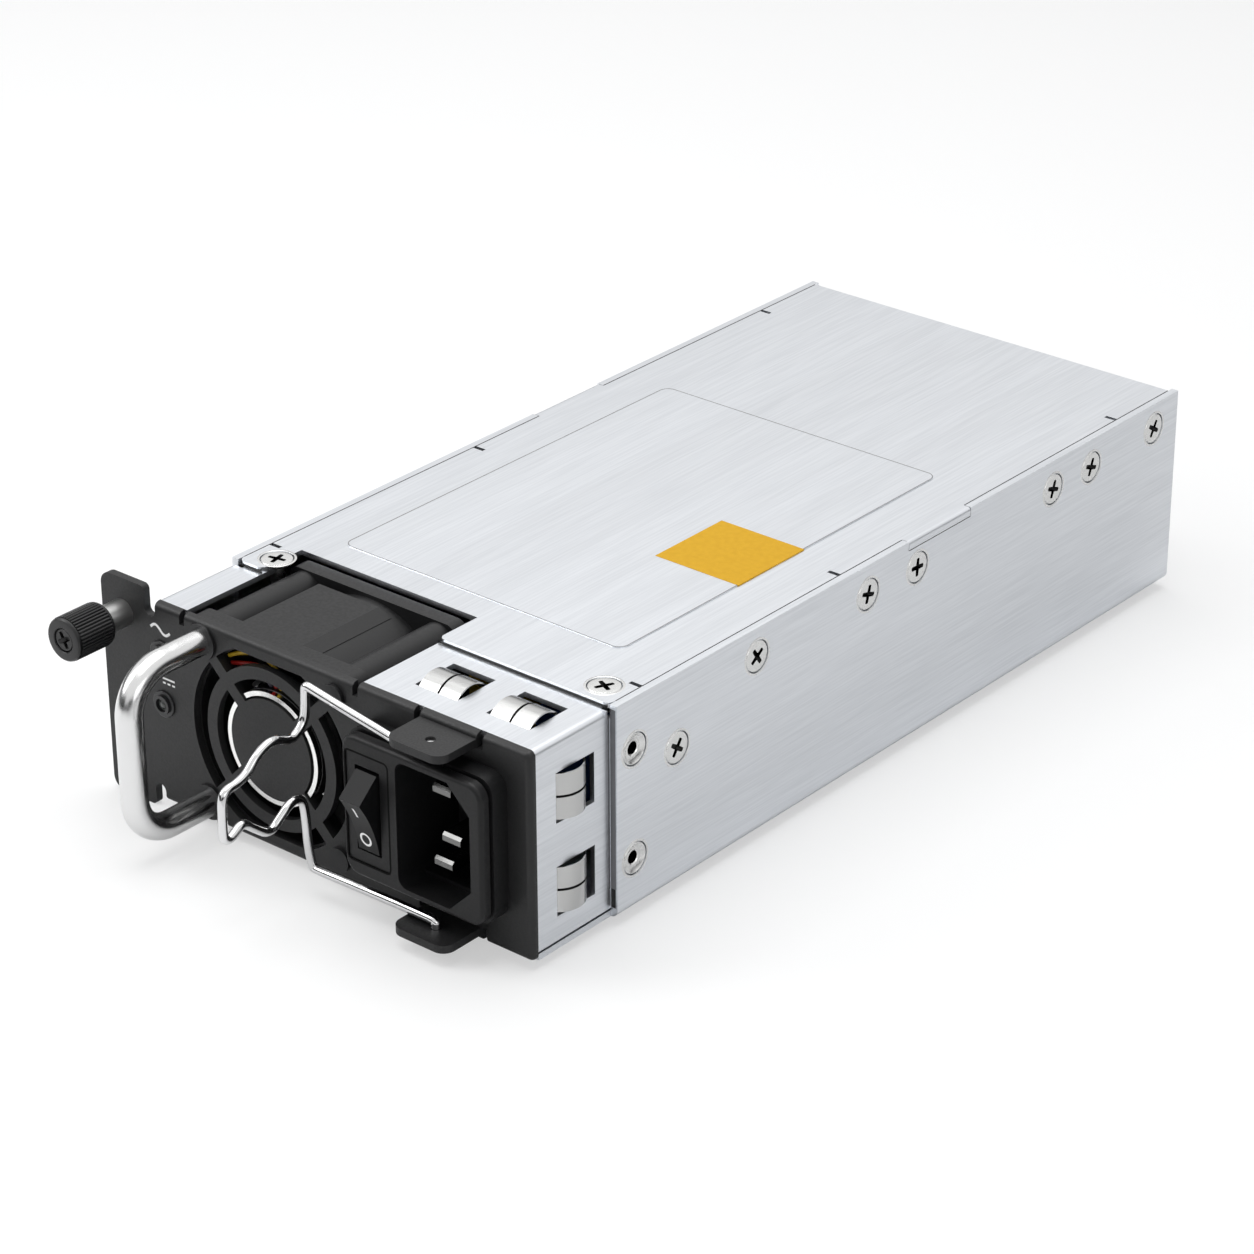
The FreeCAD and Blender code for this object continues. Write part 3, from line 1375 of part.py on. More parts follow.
def build():
    os.makedirs("parts", exist_ok=True)
    pieces = {
        "chassis_tray": chassis_tray(), "top_cover": top_cover(), "rear_panel": rear_panel(),
        "nose_bracket_left": nose_bracket(-1), "nose_bracket_right": nose_bracket(1),
        "front_panel": front_panel(),
        "grounding_springs_top": springs_top(), "grounding_springs_right": springs_right(),
        "fan_frame": fan_frame(), "fan_bearings": fan_bearings(), "fan_stator": fan_stator(),
        "fan_base_ring": fan_base_ring(), "fan_leads": fan_leads(), "fan_screws": fan_screws(),
        "fan_impeller": fan_impeller(), "fan_yoke": fan_yoke(), "fan_magnet": fan_magnet(),
        "fan_shaft": fan_shaft(),
        "pull_handle": pull_handle(), "handle_washers": handle_washers(),
        "thumbscrew_ferrule": thumbscrew_ferrule(), "thumbscrew_knob": thumbscrew_knob(),
        "thumbscrew_screw": thumbscrew_screw(), "thumbscrew_washer": thumbscrew_washer(),
        "thumbscrew_spring": thumbscrew_spring(),
        "bail_wire": bail_wire(),
        "inlet_housing": inlet_housing(), "inlet_pins": inlet_pins(),
        "switch_body": switch_body(), "switch_rocker": switch_rocker(),
        "light_holders": light_holders(), "light_pipes": light_pipes(),
        "cover_screws": cover_screws(), "side_screws": side_screws(), "side_rivets": side_rivets(),
        "rating_label": rating_label(), "marker_label": marker_label(),
        "main_board": main_board(), "board_standoffs": board_standoffs(), "board_screws": board_screws(),
        "insulation_sheet": insulation(), "output_board": output_board(),
        "output_contacts": output_contacts(),
        "bulk_capacitors": bulk_capacitors(), "output_capacitors": output_capacitors(),
        "filter_choke": filter_choke(), "boost_inductor": boost_inductor(),
        "film_capacitors": film_capacitors(), "mains_fuse": mains_fuse(), "inrush_relay": inrush_relay(),
        "primary_heatsink": primary_heatsink(), "secondary_heatsink": secondary_heatsink(),
        "power_transistors": power_transistors(),
        "transformer_core": transformer_core(), "transformer_winding": transformer_winding(),
        "control_board": control_board(),
    }
    for node, shape in pieces.items():
        write(node, shape)


build()
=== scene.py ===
import math

import bmesh
import bpy
from mathutils import Matrix, Vector


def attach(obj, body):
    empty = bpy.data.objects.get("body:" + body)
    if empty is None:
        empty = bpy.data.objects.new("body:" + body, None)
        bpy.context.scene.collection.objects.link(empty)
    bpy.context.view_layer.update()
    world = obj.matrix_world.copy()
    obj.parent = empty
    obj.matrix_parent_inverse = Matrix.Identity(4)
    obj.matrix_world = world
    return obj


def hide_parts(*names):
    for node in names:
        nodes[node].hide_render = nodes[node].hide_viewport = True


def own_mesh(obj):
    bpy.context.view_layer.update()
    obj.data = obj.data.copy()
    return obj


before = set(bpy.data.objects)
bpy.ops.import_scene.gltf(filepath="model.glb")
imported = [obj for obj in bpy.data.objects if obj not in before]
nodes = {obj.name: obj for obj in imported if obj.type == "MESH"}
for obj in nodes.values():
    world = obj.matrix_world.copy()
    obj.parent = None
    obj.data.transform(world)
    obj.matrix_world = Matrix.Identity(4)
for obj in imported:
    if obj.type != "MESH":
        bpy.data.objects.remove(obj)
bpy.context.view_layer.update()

# ---------------------------------------------------------------- camera
# A long lens a little over half a metre away, in front and to the right, above the case.
camera_data = bpy.data.cameras.new("camera")
camera_data.lens = 114.72
camera_data.sensor_width = 36.0
camera_data.clip_start = 0.01
camera = bpy.data.objects.new("camera", camera_data)
bpy.context.collection.objects.link(camera)
azimuth, elevation, roll = math.radians(40.02), math.radians(26.89), math.radians(-0.22)
to_camera = Vector((math.sin(azimuth) * math.cos(elevation), -math.cos(azimuth) * math.cos(elevation),
                    math.sin(elevation)))
level_right = Vector((math.cos(azimuth), math.sin(azimuth), 0.0))
level_up = to_camera.cross(level_right)
right = level_right * math.cos(roll) + level_up * math.sin(roll)
up = level_up * math.cos(roll) - level_right * math.sin(roll)
stance = Matrix((right, up, to_camera)).transposed().to_4x4()
stance.translation = Vector((0.4237, -0.5234, 0.3535))
camera.matrix_world = stance
bpy.context.scene.camera = camera

# ---------------------------------------------------------------- studio
# White paper under one large overhead box, with a key from the left and a weak fill from the right.
# Only polished metal sees the dark lower walls, two black flags in front and a grey card at the side.
bpy.context.scene.view_settings.view_transform = "Standard"

studio = bpy.data.worlds.new("studio")
studio.use_nodes = True
tree = studio.node_tree
tree.nodes.clear()
seen = tree.nodes.new("ShaderNodeLightPath")
camera_or_gloss = tree.nodes.new("ShaderNodeMath")
camera_or_gloss.operation = "MAXIMUM"
direct_or_clear = tree.nodes.new("ShaderNodeMath")
direct_or_clear.operation = "MAXIMUM"
ambient = tree.nodes.new("ShaderNodeBackground")
ambient.inputs["Color"].default_value = (0.97, 0.985, 1.0, 1)
ambient.inputs["Strength"].default_value = 0.34
backdrop = tree.nodes.new("ShaderNodeBackground")
backdrop.inputs["Color"].default_value = (1, 1, 1, 1)
backdrop.inputs["Strength"].default_value = 1.0
toward = tree.nodes.new("ShaderNodeTexCoord")
height = tree.nodes.new("ShaderNodeSeparateXYZ")
walls = tree.nodes.new("ShaderNodeValToRGB")
walls.color_ramp.elements[0].position, walls.color_ramp.elements[1].position = 0.10, 0.34
walls.color_ramp.elements[0].color = (0.07, 0.07, 0.075, 1)
walls.color_ramp.elements[1].color = (1, 1, 1, 1)
room = tree.nodes.new("ShaderNodeBackground")
mirrored = tree.nodes.new("ShaderNodeMixShader")
either = tree.nodes.new("ShaderNodeMixShader")
world_out = tree.nodes.new("ShaderNodeOutputWorld")
for source, target in ((seen.outputs["Is Camera Ray"], camera_or_gloss.inputs[0]),
                       (seen.outputs["Is Glossy Ray"], camera_or_gloss.inputs[1]),
                       (camera_or_gloss.outputs[0], direct_or_clear.inputs[0]),
                       (seen.outputs["Is Transmission Ray"], direct_or_clear.inputs[1]),
                       (toward.outputs["Generated"], height.inputs[0]),
                       (height.outputs["Z"], walls.inputs["Fac"]),
                       (walls.outputs["Color"], room.inputs["Color"]),
                       (seen.outputs["Is Glossy Ray"], mirrored.inputs[0]),
                       (backdrop.outputs[0], mirrored.inputs[1]),
                       (room.outputs[0], mirrored.inputs[2]),
                       (direct_or_clear.outputs[0], either.inputs[0]),
                       (ambient.outputs[0], either.inputs[1]),
                       (mirrored.outputs[0], either.inputs[2]),
                       (either.outputs[0], world_out.inputs["Surface"])):
    tree.links.new(source, target)
bpy.context.scene.world = studio


def soft_light(name, place, aim, size, power):
    """A rectangular lamp at one place, turned towards another."""
    lamp = bpy.data.lights.new(name, "AREA")
    lamp.shape = "RECTANGLE"
    lamp.size, lamp.size_y = size
    lamp.energy = power
    holder = bpy.data.objects.new(name, lamp)
    bpy.context.collection.objects.link(holder)
    holder.location = place
    holder.rotation_euler = (Vector(aim) - Vector(place)).to_track_quat("-Z", "Y").to_euler()


soft_light("overhead", (-0.08, 0.0, 0.75), (0, 0, 0.02), (0.7, 0.7), 4.6)
soft_light("key", (-0.55, -0.45, 0.50), (0, -0.05, 0.02), (0.35, 0.5), 2.4)
soft_light("fill", (0.75, -0.35, 0.25), (0, 0, 0.02), (0.5, 0.35), 0.7)


def flat_stage(name, corners, colour, roughness):
    """A flat studio sheet with a matt finish, which is no part of the object."""
    sheet = bpy.data.meshes.new(name)
    sheet.from_pydata(corners, [], [(0, 1, 2, 3)])
    stand = bpy.data.objects.new(name, sheet)
    bpy.context.collection.objects.link(stand)
    matt = bpy.data.materials.new(name)
    matt.use_nodes = True
    shader = matt.node_tree.nodes["Principled BSDF"]
    shader.inputs["Base Color"].default_value = (*colour, 1)
    shader.inputs["Roughness"].default_value = roughness
    shader.inputs["Specular IOR Level"].default_value = 0.1
    sheet.materials.append(matt)
    return stand


floor_z, card_z = -0.0018, -0.0014
paper = flat_stage("floor", [(-2.5, -2.5, floor_z), (2.5, -2.5, floor_z), (2.5, 2.5, floor_z),
                             (-2.5, 2.5, floor_z)], (0.96, 0.96, 0.96), 0.85)
tree = paper.data.materials[0].node_tree
direct = tree.nodes.new("ShaderNodeLightPath")
half_seen = tree.nodes.new("ShaderNodeMath")
half_seen.operation = "MULTIPLY"
half_seen.inputs[1].default_value = 0.5
white = tree.nodes.new("ShaderNodeEmission")
lifted = tree.nodes.new("ShaderNodeMixShader")
for source, target in ((direct.outputs["Is Camera Ray"], half_seen.inputs[0]),
                       (half_seen.outputs[0], lifted.inputs[0]),
                       (tree.nodes["Principled BSDF"].outputs[0], lifted.inputs[1]),
                       (white.outputs[0], lifted.inputs[2]),
                       (lifted.outputs[0], tree.nodes["Material Output"].inputs["Surface"])):
    tree.links.new(source, target)
flag_black, card_grey = (0.02, 0.02, 0.02), (0.78, 0.78, 0.78)
flags = [flat_stage("flag_left", [(-0.95, -0.70, 0), (-0.10, -0.95, 0), (-0.10, -0.95, 0.36),
                                  (-0.95, -0.70, 0.36)], flag_black, 0.9),
         flat_stage("flag_right", [(0.35, -0.95, 0), (0.85, -0.80, 0), (0.85, -0.80, 0.30),
                                   (0.35, -0.95, 0.30)], flag_black, 0.9),
         flat_stage("flag_side", [(0.055, -0.60, card_z), (1.20, -0.60, card_z), (1.20, 1.50, card_z),
                                  (0.055, 1.50, card_z)], card_grey, 0.9)]
for flag in flags:
    flag.visible_camera = False
    flag.visible_diffuse = False
    flag.visible_shadow = False
    flag.visible_transmission = False

# ---------------------------------------------------------------- case sheets
# Tray, cover and rear sheet of bright brushed steel, bent and screwed together.  The two nose
# brackets are cut from the same sheet.  The grain runs along the case.


def finish(name, colour, metallic, roughness, gloss=0.5):
    """A new procedural material; returns it with its tree and its shader."""
    material = bpy.data.materials.new(name)
    material.use_nodes = True
    material.diffuse_color = (*colour, 1)
    tree = material.node_tree
    tree.nodes.clear()
    shader = tree.nodes.new("ShaderNodeBsdfPrincipled")
    shader.inputs["Base Color"].default_value = (*colour, 1)
    shader.inputs["Metallic"].default_value = metallic
    shader.inputs["Roughness"].default_value = roughness
    shader.inputs["Specular IOR Level"].default_value = gloss
    out = tree.nodes.new("ShaderNodeOutputMaterial")
    tree.links.new(shader.outputs[0], out.inputs["Surface"])
    return material, tree, shader


def grain(tree, scale, stretch=(1, 1, 1), detail=3.0, seed=0.0):
    """Noise on object coordinates, stretched along an axis; returns its value socket."""
    where = tree.nodes.new("ShaderNodeTexCoord")
    frame_map = tree.nodes.new("ShaderNodeMapping")
    frame_map.inputs["Scale"].default_value = stretch
    frame_map.inputs["Location"].default_value = (seed, seed * 0.7, seed * 1.3)
    noise = tree.nodes.new("ShaderNodeTexNoise")
    noise.inputs["Scale"].default_value = scale
    noise.inputs["Detail"].default_value = detail
    tree.links.new(where.outputs["Object"], frame_map.inputs["Vector"])
    tree.links.new(frame_map.outputs["Vector"], noise.inputs["Vector"])
    return noise.outputs["Fac"]


def shade_between(tree, factor, low, high, target, spread=(0.35, 0.65)):
    """Runs a value through a ramp between two colours or greys, into a socket."""
    ramp = tree.nodes.new("ShaderNodeValToRGB")
    ramp.color_ramp.elements[0].position, ramp.color_ramp.elements[1].position = spread
    ramp.color_ramp.elements[0].color = (*low, 1)
    ramp.color_ramp.elements[1].color = (*high, 1)
    tree.links.new(factor, ramp.inputs["Fac"])
    tree.links.new(ramp.outputs["Color"], target)


def relief(tree, factor, shader, strength, depth):
    """Runs a value into the shader as a fine bump."""
    bump = tree.nodes.new("ShaderNodeBump")
    bump.inputs["Strength"].default_value = strength
    bump.inputs["Distance"].default_value = depth
    tree.links.new(factor, bump.inputs["Height"])
    tree.links.new(bump.outputs["Normal"], shader.inputs["Normal"])


def brushed_steel(name, dark, bright, stretch, roughness=0.33):
    """Steel with fine streaks along the stretch and broader, fainter patches."""
    material, tree, shader = finish(name, bright, 1.0, roughness)
    streaks = grain(tree, 2400.0, stretch, 2.0)
    shade_between(tree, streaks, dark, bright, shader.inputs["Base Color"], (0.3, 0.7))
    patches = grain(tree, 160.0, stretch, 1.0, 3.0)
    shade_between(tree, patches, (roughness - 0.02,) * 3, (roughness + 0.03,) * 3,
                  shader.inputs["Roughness"])
    relief(tree, streaks, shader, 0.05, 0.0001)
    return material


def dress(material, *names):
    """Gives nodes of the frame their material."""
    for name in names:
        for place in nodes[name].material_slots:
            place.material = material


sheet_dark, sheet_bright = (0.68, 0.70, 0.73), (0.76, 0.78, 0.81)
along_case = (1.0, 0.025, 1.0)
case_steel = brushed_steel("case_steel", sheet_dark, sheet_bright, along_case)
dress(case_steel, "chassis_tray", "top_cover", "rear_panel", "nose_bracket_left", "nose_bracket_right")

# ---------------------------------------------------------------- front panel
# One steel sheet, punched with the finger guard, bent round the nose and powder coated black.
# White pad-printed signs for mains and direct current stand beside the two lights.
panel_black, tree, shader = finish("panel_black", (0.014, 0.014, 0.0145), 0.0, 0.42, 0.34)
powder = grain(tree, 2600.0, (1, 1, 1), 2.0)
shade_between(tree, powder, (0.38,) * 3, (0.50,) * 3, shader.inputs["Roughness"])
relief(tree, powder, shader, 0.16, 0.0001)
dress(panel_black, "front_panel")


def spot(x, y, z):
    """A point of the drawing, in millimetres from the panel's face, as a point of the frame."""
    return Vector((x, y - 95.5, z)) / 1000.0


def faced(name, verts, faces):
    """A mesh with its faces turned outwards."""
    mesh = bpy.data.meshes.new(name)
    mesh.from_pydata(verts, [], faces)
    work = bmesh.new()
    work.from_mesh(mesh)
    bmesh.ops.recalc_face_normals(work, faces=work.faces)
    work.to_mesh(mesh)
    work.free()
    return mesh


def piece(name, material, verts, faces, body):
    """A finished piece riding on a body."""
    mesh = faced(name, verts, faces)
    mesh.materials.append(material)
    made = bpy.data.objects.new(name, mesh)
    bpy.context.collection.objects.link(made)
    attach(made, body)
    return made


def band(line, width, closed=False):
    """Left and right edge of a strip that follows a flat line."""
    left_side, right_side = [], []
    count = len(line)
    for index, point in enumerate(line):
        before = line[(index - 1) % count] if closed or index else line[0]
        after = line[(index + 1) % count] if closed or index < count - 1 else line[-1]
        run = (Vector(after) - Vector(before)).normalized()
        side = Vector((-run.y, run.x)) * width / 2
        left_side.append(Vector(point) + side)
        right_side.append(Vector(point) - side)
    return left_side, right_side


def strip(line, width, closed, lift):
    """Verts and faces of a thin printed strip; lift(u, v, up) gives the place of each of its points."""
    left_side, right_side = band(line, width, closed)
    count = len(line)
    verts = [lift(p.x, p.y, up) for up in (0, 1) for row in (left_side, right_side) for p in row]
    faces = []
    for index in range(count if closed else count - 1):
        a, b = index, (index + 1) % count
        corners = [(a, b), (a + count, b + count)]
        faces.append((a + 2 * count, b + 2 * count, b + 3 * count, a + 3 * count))
        faces.append((a, a + count, b + count, b))
        for low, high in corners:
            faces.append((low, high, high + 2 * count, low + 2 * count))
    if not closed:
        for end in (0, count - 1):
            faces.append((end, end + count, end + 3 * count, end + 2 * count))
    return verts, faces


print_white, tree, shader = finish("print_white", (0.85, 0.85, 0.85), 0.0, 0.5)
shade_between(tree, grain(tree, 1500.0), (0.82,) * 3, (0.88,) * 3, shader.inputs["Base Color"])
mark_verts, mark_faces = [], []


def add_mark(verts, faces):
    """Adds a strip to the marks that become one piece."""
    base = len(mark_verts)
    mark_verts.extend(verts)
    mark_faces.extend(tuple(base + index for index in face) for face in faces)


def on_panel(x, z, up):
    """A point just in front of the panel's face."""
    return spot(x, 0.02 - 0.05 * up, z)


# A wave for mains current; a line over three dashes for direct current.
wave = [(-45.4 + 4.8 * t / 24, 34.9 + 0.75 * math.sin(2 * math.pi * t / 24)) for t in range(25)]
add_mark(*strip(wave, 0.5, False, on_panel))
add_mark(*strip([(-43.1, 25.4), (-40.1, 25.4)], 0.36, False, on_panel))
for start in (-43.1, -41.95, -40.8):
    add_mark(*strip([(start, 24.5), (start + 0.7, 24.5)], 0.36, False, on_panel))
piece("panel_signs", print_white, mark_verts, mark_faces, "housing")

# ---------------------------------------------------------------- grounding springs
# Thin bright spring steel fingers, bowed out through the windows of the nose and hooked inside.  A
# black strip over the slit that parts each pair is painted shade.
spring_bright, tree, shader = finish("spring_bright", (0.53, 0.53, 0.525), 1.0, 0.24)
rolled = grain(tree, 900.0, (0.05, 1.0, 1.0), 2.0)
shade_between(tree, rolled, (0.20,) * 3, (0.27,) * 3, shader.inputs["Roughness"])
dress(spring_bright, "grounding_springs_top", "grounding_springs_right")
# Near-black painted shade for narrow gaps: the springs' slits and the joint round the switch.
gap_shade_black, tree, shader = finish("gap_shade_black", (0.002, 0.002, 0.002), 0.0, 0.8, 0.1)
relief(tree, grain(tree, 2000.0), shader, 0.1, 0.00005)


def bow(along, up):
    """Height of a bowed finger's outer face over its sheet, an arc about the window's middle."""
    arc_radius, arc_middle, arc_sunk = 4.93, 10.7, 3.63
    return -arc_sunk + math.sqrt(arc_radius ** 2 - (along - arc_middle) ** 2) + 0.03 * up


slit = [(7.0 + 0.6 * step, 0.0) for step in range(13)]
slit_width, nose_top, nose_side = 0.46, 40.0, 43.5
mark_verts, mark_faces = [], []
for middle in (17.0, 33.1):
    add_mark(*strip(slit, slit_width, False, lambda y, x, up: spot(middle + x, y, nose_top + bow(y, up))))
for middle in (11.1, 29.0):
    add_mark(*strip(slit, slit_width, False, lambda y, z, up: spot(nose_side + bow(y, up), y, middle + z)))
piece("spring_slits", gap_shade_black, mark_verts, mark_faces, "housing")

# ---------------------------------------------------------------- fan
# Moulded black frame, impeller and stator disc behind the finger guard, with a bright turned ring
# round the disc.  Long black screws hold it at its corners, and three thin leads cross the bore.
fan_black, tree, shader = finish("fan_black", (0.010, 0.010, 0.0105), 0.0, 0.42, 0.32)
moulded = grain(tree, 1500.0, (1, 1, 1), 2.0)
shade_between(tree, moulded, (0.36,) * 3, (0.48,) * 3, shader.inputs["Roughness"])
relief(tree, moulded, shader, 0.08, 0.0001)
dress(fan_black, "fan_frame", "fan_impeller")
yoke_steel, tree, shader = finish("yoke_steel", (0.86, 0.86, 0.85), 1.0, 0.2)
turned_marks = grain(tree, 900.0, (1, 0.1, 1), 2.0)
shade_between(tree, turned_marks, (0.16,) * 3, (0.26,) * 3, shader.inputs["Roughness"])
dress(yoke_steel, "fan_base_ring", "fan_yoke", "fan_shaft", "fan_bearings")
magnet_grey, tree, shader = finish("magnet_grey", (0.06, 0.06, 0.065), 0.0, 0.6)
relief(tree, grain(tree, 2000.0), shader, 0.15, 0.0001)
dress(magnet_grey, "fan_magnet")
stator_black, tree, shader = finish("stator_black", (0.015, 0.015, 0.016), 0.0, 0.42, 0.36)
relief(tree, grain(tree, 1500.0), shader, 0.12, 0.0001)
dress(stator_black, "fan_stator")
screw_black, tree, shader = finish("screw_black", (0.018, 0.018, 0.019), 0.5, 0.36)
relief(tree, grain(tree, 1500.0), shader, 0.1, 0.0001)
dress(screw_black, "fan_screws", "handle_washers")


def wire(name, points, radius, material, body):
    """A round wire along a smooth line, as a plain mesh riding on a body."""
    curve = bpy.data.curves.new(name, "CURVE")
    curve.dimensions = "3D"
    curve.bevel_depth = radius / 1000.0
    curve.bevel_resolution = 3
    curve.use_fill_caps = True
    line = curve.splines.new("NURBS")
    line.points.add(len(points) - 1)
    for point, place in zip(line.points, points):
        point.co = (*spot(*place), 1)
    line.order_u = 3
    line.use_endpoint_u = True
    line.resolution_u = 8
    holder = bpy.data.objects.new(name, curve)
    bpy.context.collection.objects.link(holder)
    graph = bpy.context.evaluated_depsgraph_get()
    mesh = bpy.data.meshes.new_from_object(holder.evaluated_get(graph))
    bpy.data.objects.remove(holder)
    mesh.name = name
    mesh.materials.clear()
    mesh.materials.append(material)
    mesh.shade_smooth()
    made = bpy.data.objects.new(name, mesh)
    bpy.context.collection.objects.link(made)
    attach(made, body)
    return made


lead_paths = {
    "red": ((0.42, 0.012, 0.010), [(-16.9, 2.6, 29.4), (-17.4, 2.7, 32.6), (-19.6, 2.7, 34.1), (-23.9, 2.6, 33.6),
                                   (-28.2, 2.6, 32.3), (-30.4, 2.6, 31.6)]),
    "yellow": ((0.52, 0.34, 0.02), [(-15.9, 2.6, 29.4), (-16.0, 2.7, 33.4), (-18.2, 2.7, 35.6), (-22.0, 2.6, 36.3),
                                    (-26.4, 2.6, 34.9), (-28.4, 2.6, 33.7)]),
    "black": ((0.02, 0.015, 0.035), [(-17.9, 2.6, 29.4), (-18.6, 2.7, 31.6), (-21.0, 2.7, 33.0), (-24.5, 2.6, 32.4),
                                     (-29.0, 2.6, 30.9), (-31.2, 2.6, 30.3)])}
for colour, (shade, route) in lead_paths.items():
    sleeve, tree, shader = finish("lead_" + colour, shade, 0.0, 0.35)
    relief(tree, grain(tree, 2500.0), shader, 0.1, 0.00005)
    lead = wire("fan_lead_" + colour, route, 0.42, sleeve, "housing")
    if colour == "red":
        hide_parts("fan_leads")

# ---------------------------------------------------------------- handle and bail
# Round rod and wire, bent cold and polished.  The handle is held by two screws from behind; the
# bail's ends spring into its two tabs.
chrome, tree, shader = finish("chrome", (0.70, 0.70, 0.70), 1.0, 0.22)
drawn = grain(tree, 500.0)
shade_between(tree, drawn, (0.19,) * 3, (0.25,) * 3, shader.inputs["Roughness"])
dress(chrome, "pull_handle")
bail_chrome, tree, shader = finish("bail_chrome", (0.66, 0.66, 0.665), 1.0, 0.12)
shade_between(tree, grain(tree, 500.0), (0.10,) * 3, (0.15,) * 3, shader.inputs["Roughness"])
bail_route = [(26.0, -4.8, 38.5), (26.0, -4.8, 37.2), (26.0, -4.8, 36.1), (24.8, -4.8, 36.0), (20.0, -4.8, 36.0),
              (17.6, -4.8, 36.0), (15.4, -4.8, 36.4), (6.0, -4.8, 37.9), (-0.9, -4.8, 39.1), (-2.7, -4.8, 39.4),
              (-2.8, -4.8, 37.8), (-2.8, -4.9, 35.4), (-2.8, -5.2, 33.2), (-2.8, -6.3, 31.6), (-2.8, -8.8, 30.2),
              (-2.8, -12.8, 32.4), (-2.8, -16.8, 31.0), (-2.8, -19.2, 28.5), (-2.8, -21.8, 27.5),
              (-2.8, -24.4, 27.4), (-2.8, -25.4, 26.0), (-2.8, -25.5, 23.0), (-2.8, -25.5, 19.6),
              (-2.8, -25.4, 18.4), (-2.8, -24.4, 17.8), (-2.8, -22.8, 18.5), (-2.8, -21.0, 19.7),
              (-2.8, -18.5, 17.6), (-2.8, -14.8, 14.7), (-2.8, -11.6, 17.1), (-2.8, -9.2, 18.7),
              (-2.8, -6.6, 18.4), (-2.8, -6.0, 14.4), (-2.8, -5.7, 8.6), (-2.8, -5.1, 5.2), (-2.6, -4.8, 3.7),
              (-1.2, -4.8, 3.6), (6.0, -4.8, 3.8), (15.4, -4.8, 3.95), (17.6, -4.8, 4.0), (20.0, -4.8, 4.0),
              (24.8, -4.8, 4.0), (26.0, -4.8, 3.9), (26.0, -4.8, 2.8), (26.0, -4.8, 1.5)]
bail = wire("bail_bent_wire", bail_route, 0.85, bail_chrome, "bail")
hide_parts("bail_wire")

# ---------------------------------------------------------------- thumbscrew
# Captive screw with a turned, straight-knurled knob pressed on it, both black oxide.  It rides in a
# plain nickel ferrule that is flared into the ear, and a wire spring in the knob's skirt pushes it out.
nickel, tree, shader = finish("nickel", (0.40, 0.40, 0.395), 1.0, 0.36)
shade_between(tree, grain(tree, 300.0, (1, 0.2, 1)), (0.35,) * 3, (0.38,) * 3, shader.inputs["Roughness"])
dress(nickel, "thumbscrew_ferrule", "thumbscrew_washer")
knob_black, tree, shader = finish("knob_black", (0.008, 0.008, 0.0085), 0.2, 0.33, 0.5)
relief(tree, grain(tree, 1800.0), shader, 0.10, 0.00005)


def rings_mesh(profile, sides, closed=False):
    """Verts and faces of a turned shape about Z; a radius of 0 closes an end."""
    verts, faces, rows = [], [], []
    for radius, height in profile:
        if radius < 1e-6:
            rows.append([len(verts)] * sides)
            verts.append((0.0, 0.0, height))
        else:
            rows.append(list(range(len(verts), len(verts) + sides)))
            verts += [(radius * math.cos(2 * math.pi * k / sides), radius * math.sin(2 * math.pi * k / sides),
                       height) for k in range(sides)]
    pairs = list(zip(rows, rows[1:])) + ([(rows[-1], rows[0])] if closed else [])
    for low, high in pairs:
        for k in range(sides):
            face = []
            for index in (low[k], low[(k + 1) % sides], high[(k + 1) % sides], high[k]):
                if index not in face:
                    face.append(index)
            if len(face) > 2:
                faces.append(tuple(face))
    return verts, faces


def cross_outline(reach, half):
    """Corners of a cross whose arms are twice half wide."""
    points = []
    for quarter in range(4):
        turn = math.radians(90 * quarter)
        for u, v in ((reach, -half), (reach * 1.07, 0), (reach, half), (half * 1.15, half * 1.15)):
            points.append((u * math.cos(turn) - v * math.sin(turn), u * math.sin(turn) + v * math.cos(turn)))
    return points


def cross_head(name, profile, reach, half, depth, sides=36, lip=None):
    """A turned head, its cap on the profile's last ring, with a cross recess cut in the cap."""
    verts, faces = rings_mesh(profile, sides)
    work = bmesh.new()
    for vert in verts:
        work.verts.new(vert)
    work.verts.ensure_lookup_table()
    for face in faces:
        work.faces.new([work.verts[index] for index in face])
    # Faces of the recess are marked sunk; a material that reads the mark paints them near black as shade.
    sunk = work.faces.layers.float.new("sunk")
    cap = profile[-1][1]
    rim = [work.verts[index] for index in range(len(verts) - sides, len(verts))]
    mouth = [work.verts.new((u, v, cap)) for u, v in cross_outline(reach, half)]
    foot = [work.verts.new((u, v, cap - depth)) for u, v in cross_outline(reach * 0.55, half * 0.75)]
    edges = [work.edges.get((a, b)) for a, b in zip(rim, rim[1:] + rim[:1])]
    edges += [work.edges.new((a, b)) for a, b in zip(mouth, mouth[1:] + mouth[:1])]
    bmesh.ops.triangle_fill(work, use_beauty=True, edges=edges, normal=(0, 0, 1))
    count = len(mouth)
    for k in range(count):
        wall = work.faces.new((mouth[k], mouth[(k + 1) % count], foot[(k + 1) % count], foot[k]))
        wall[sunk] = 1.0
    work.faces.new(foot)[sunk] = 1.0
    if lip:
        lip_verts, lip_faces = rings_mesh(lip, sides, True)
        placed = [work.verts.new(vert) for vert in lip_verts]
        for face in lip_faces:
            work.faces.new([placed[index] for index in face])
    bmesh.ops.recalc_face_normals(work, faces=work.faces)
    mesh = bpy.data.meshes.new(name)
    work.to_mesh(mesh)
    work.free()
    mesh.shade_smooth()
    mesh.set_sharp_from_angle(angle=math.radians(30))
    return mesh


def group_input(tree, name, kind, value=None):
    """Adds a named input to a node tree."""
    socket = tree.interface.new_socket(name=name, in_out="INPUT", socket_type=kind)
    if value is not None:
        socket.default_value = value


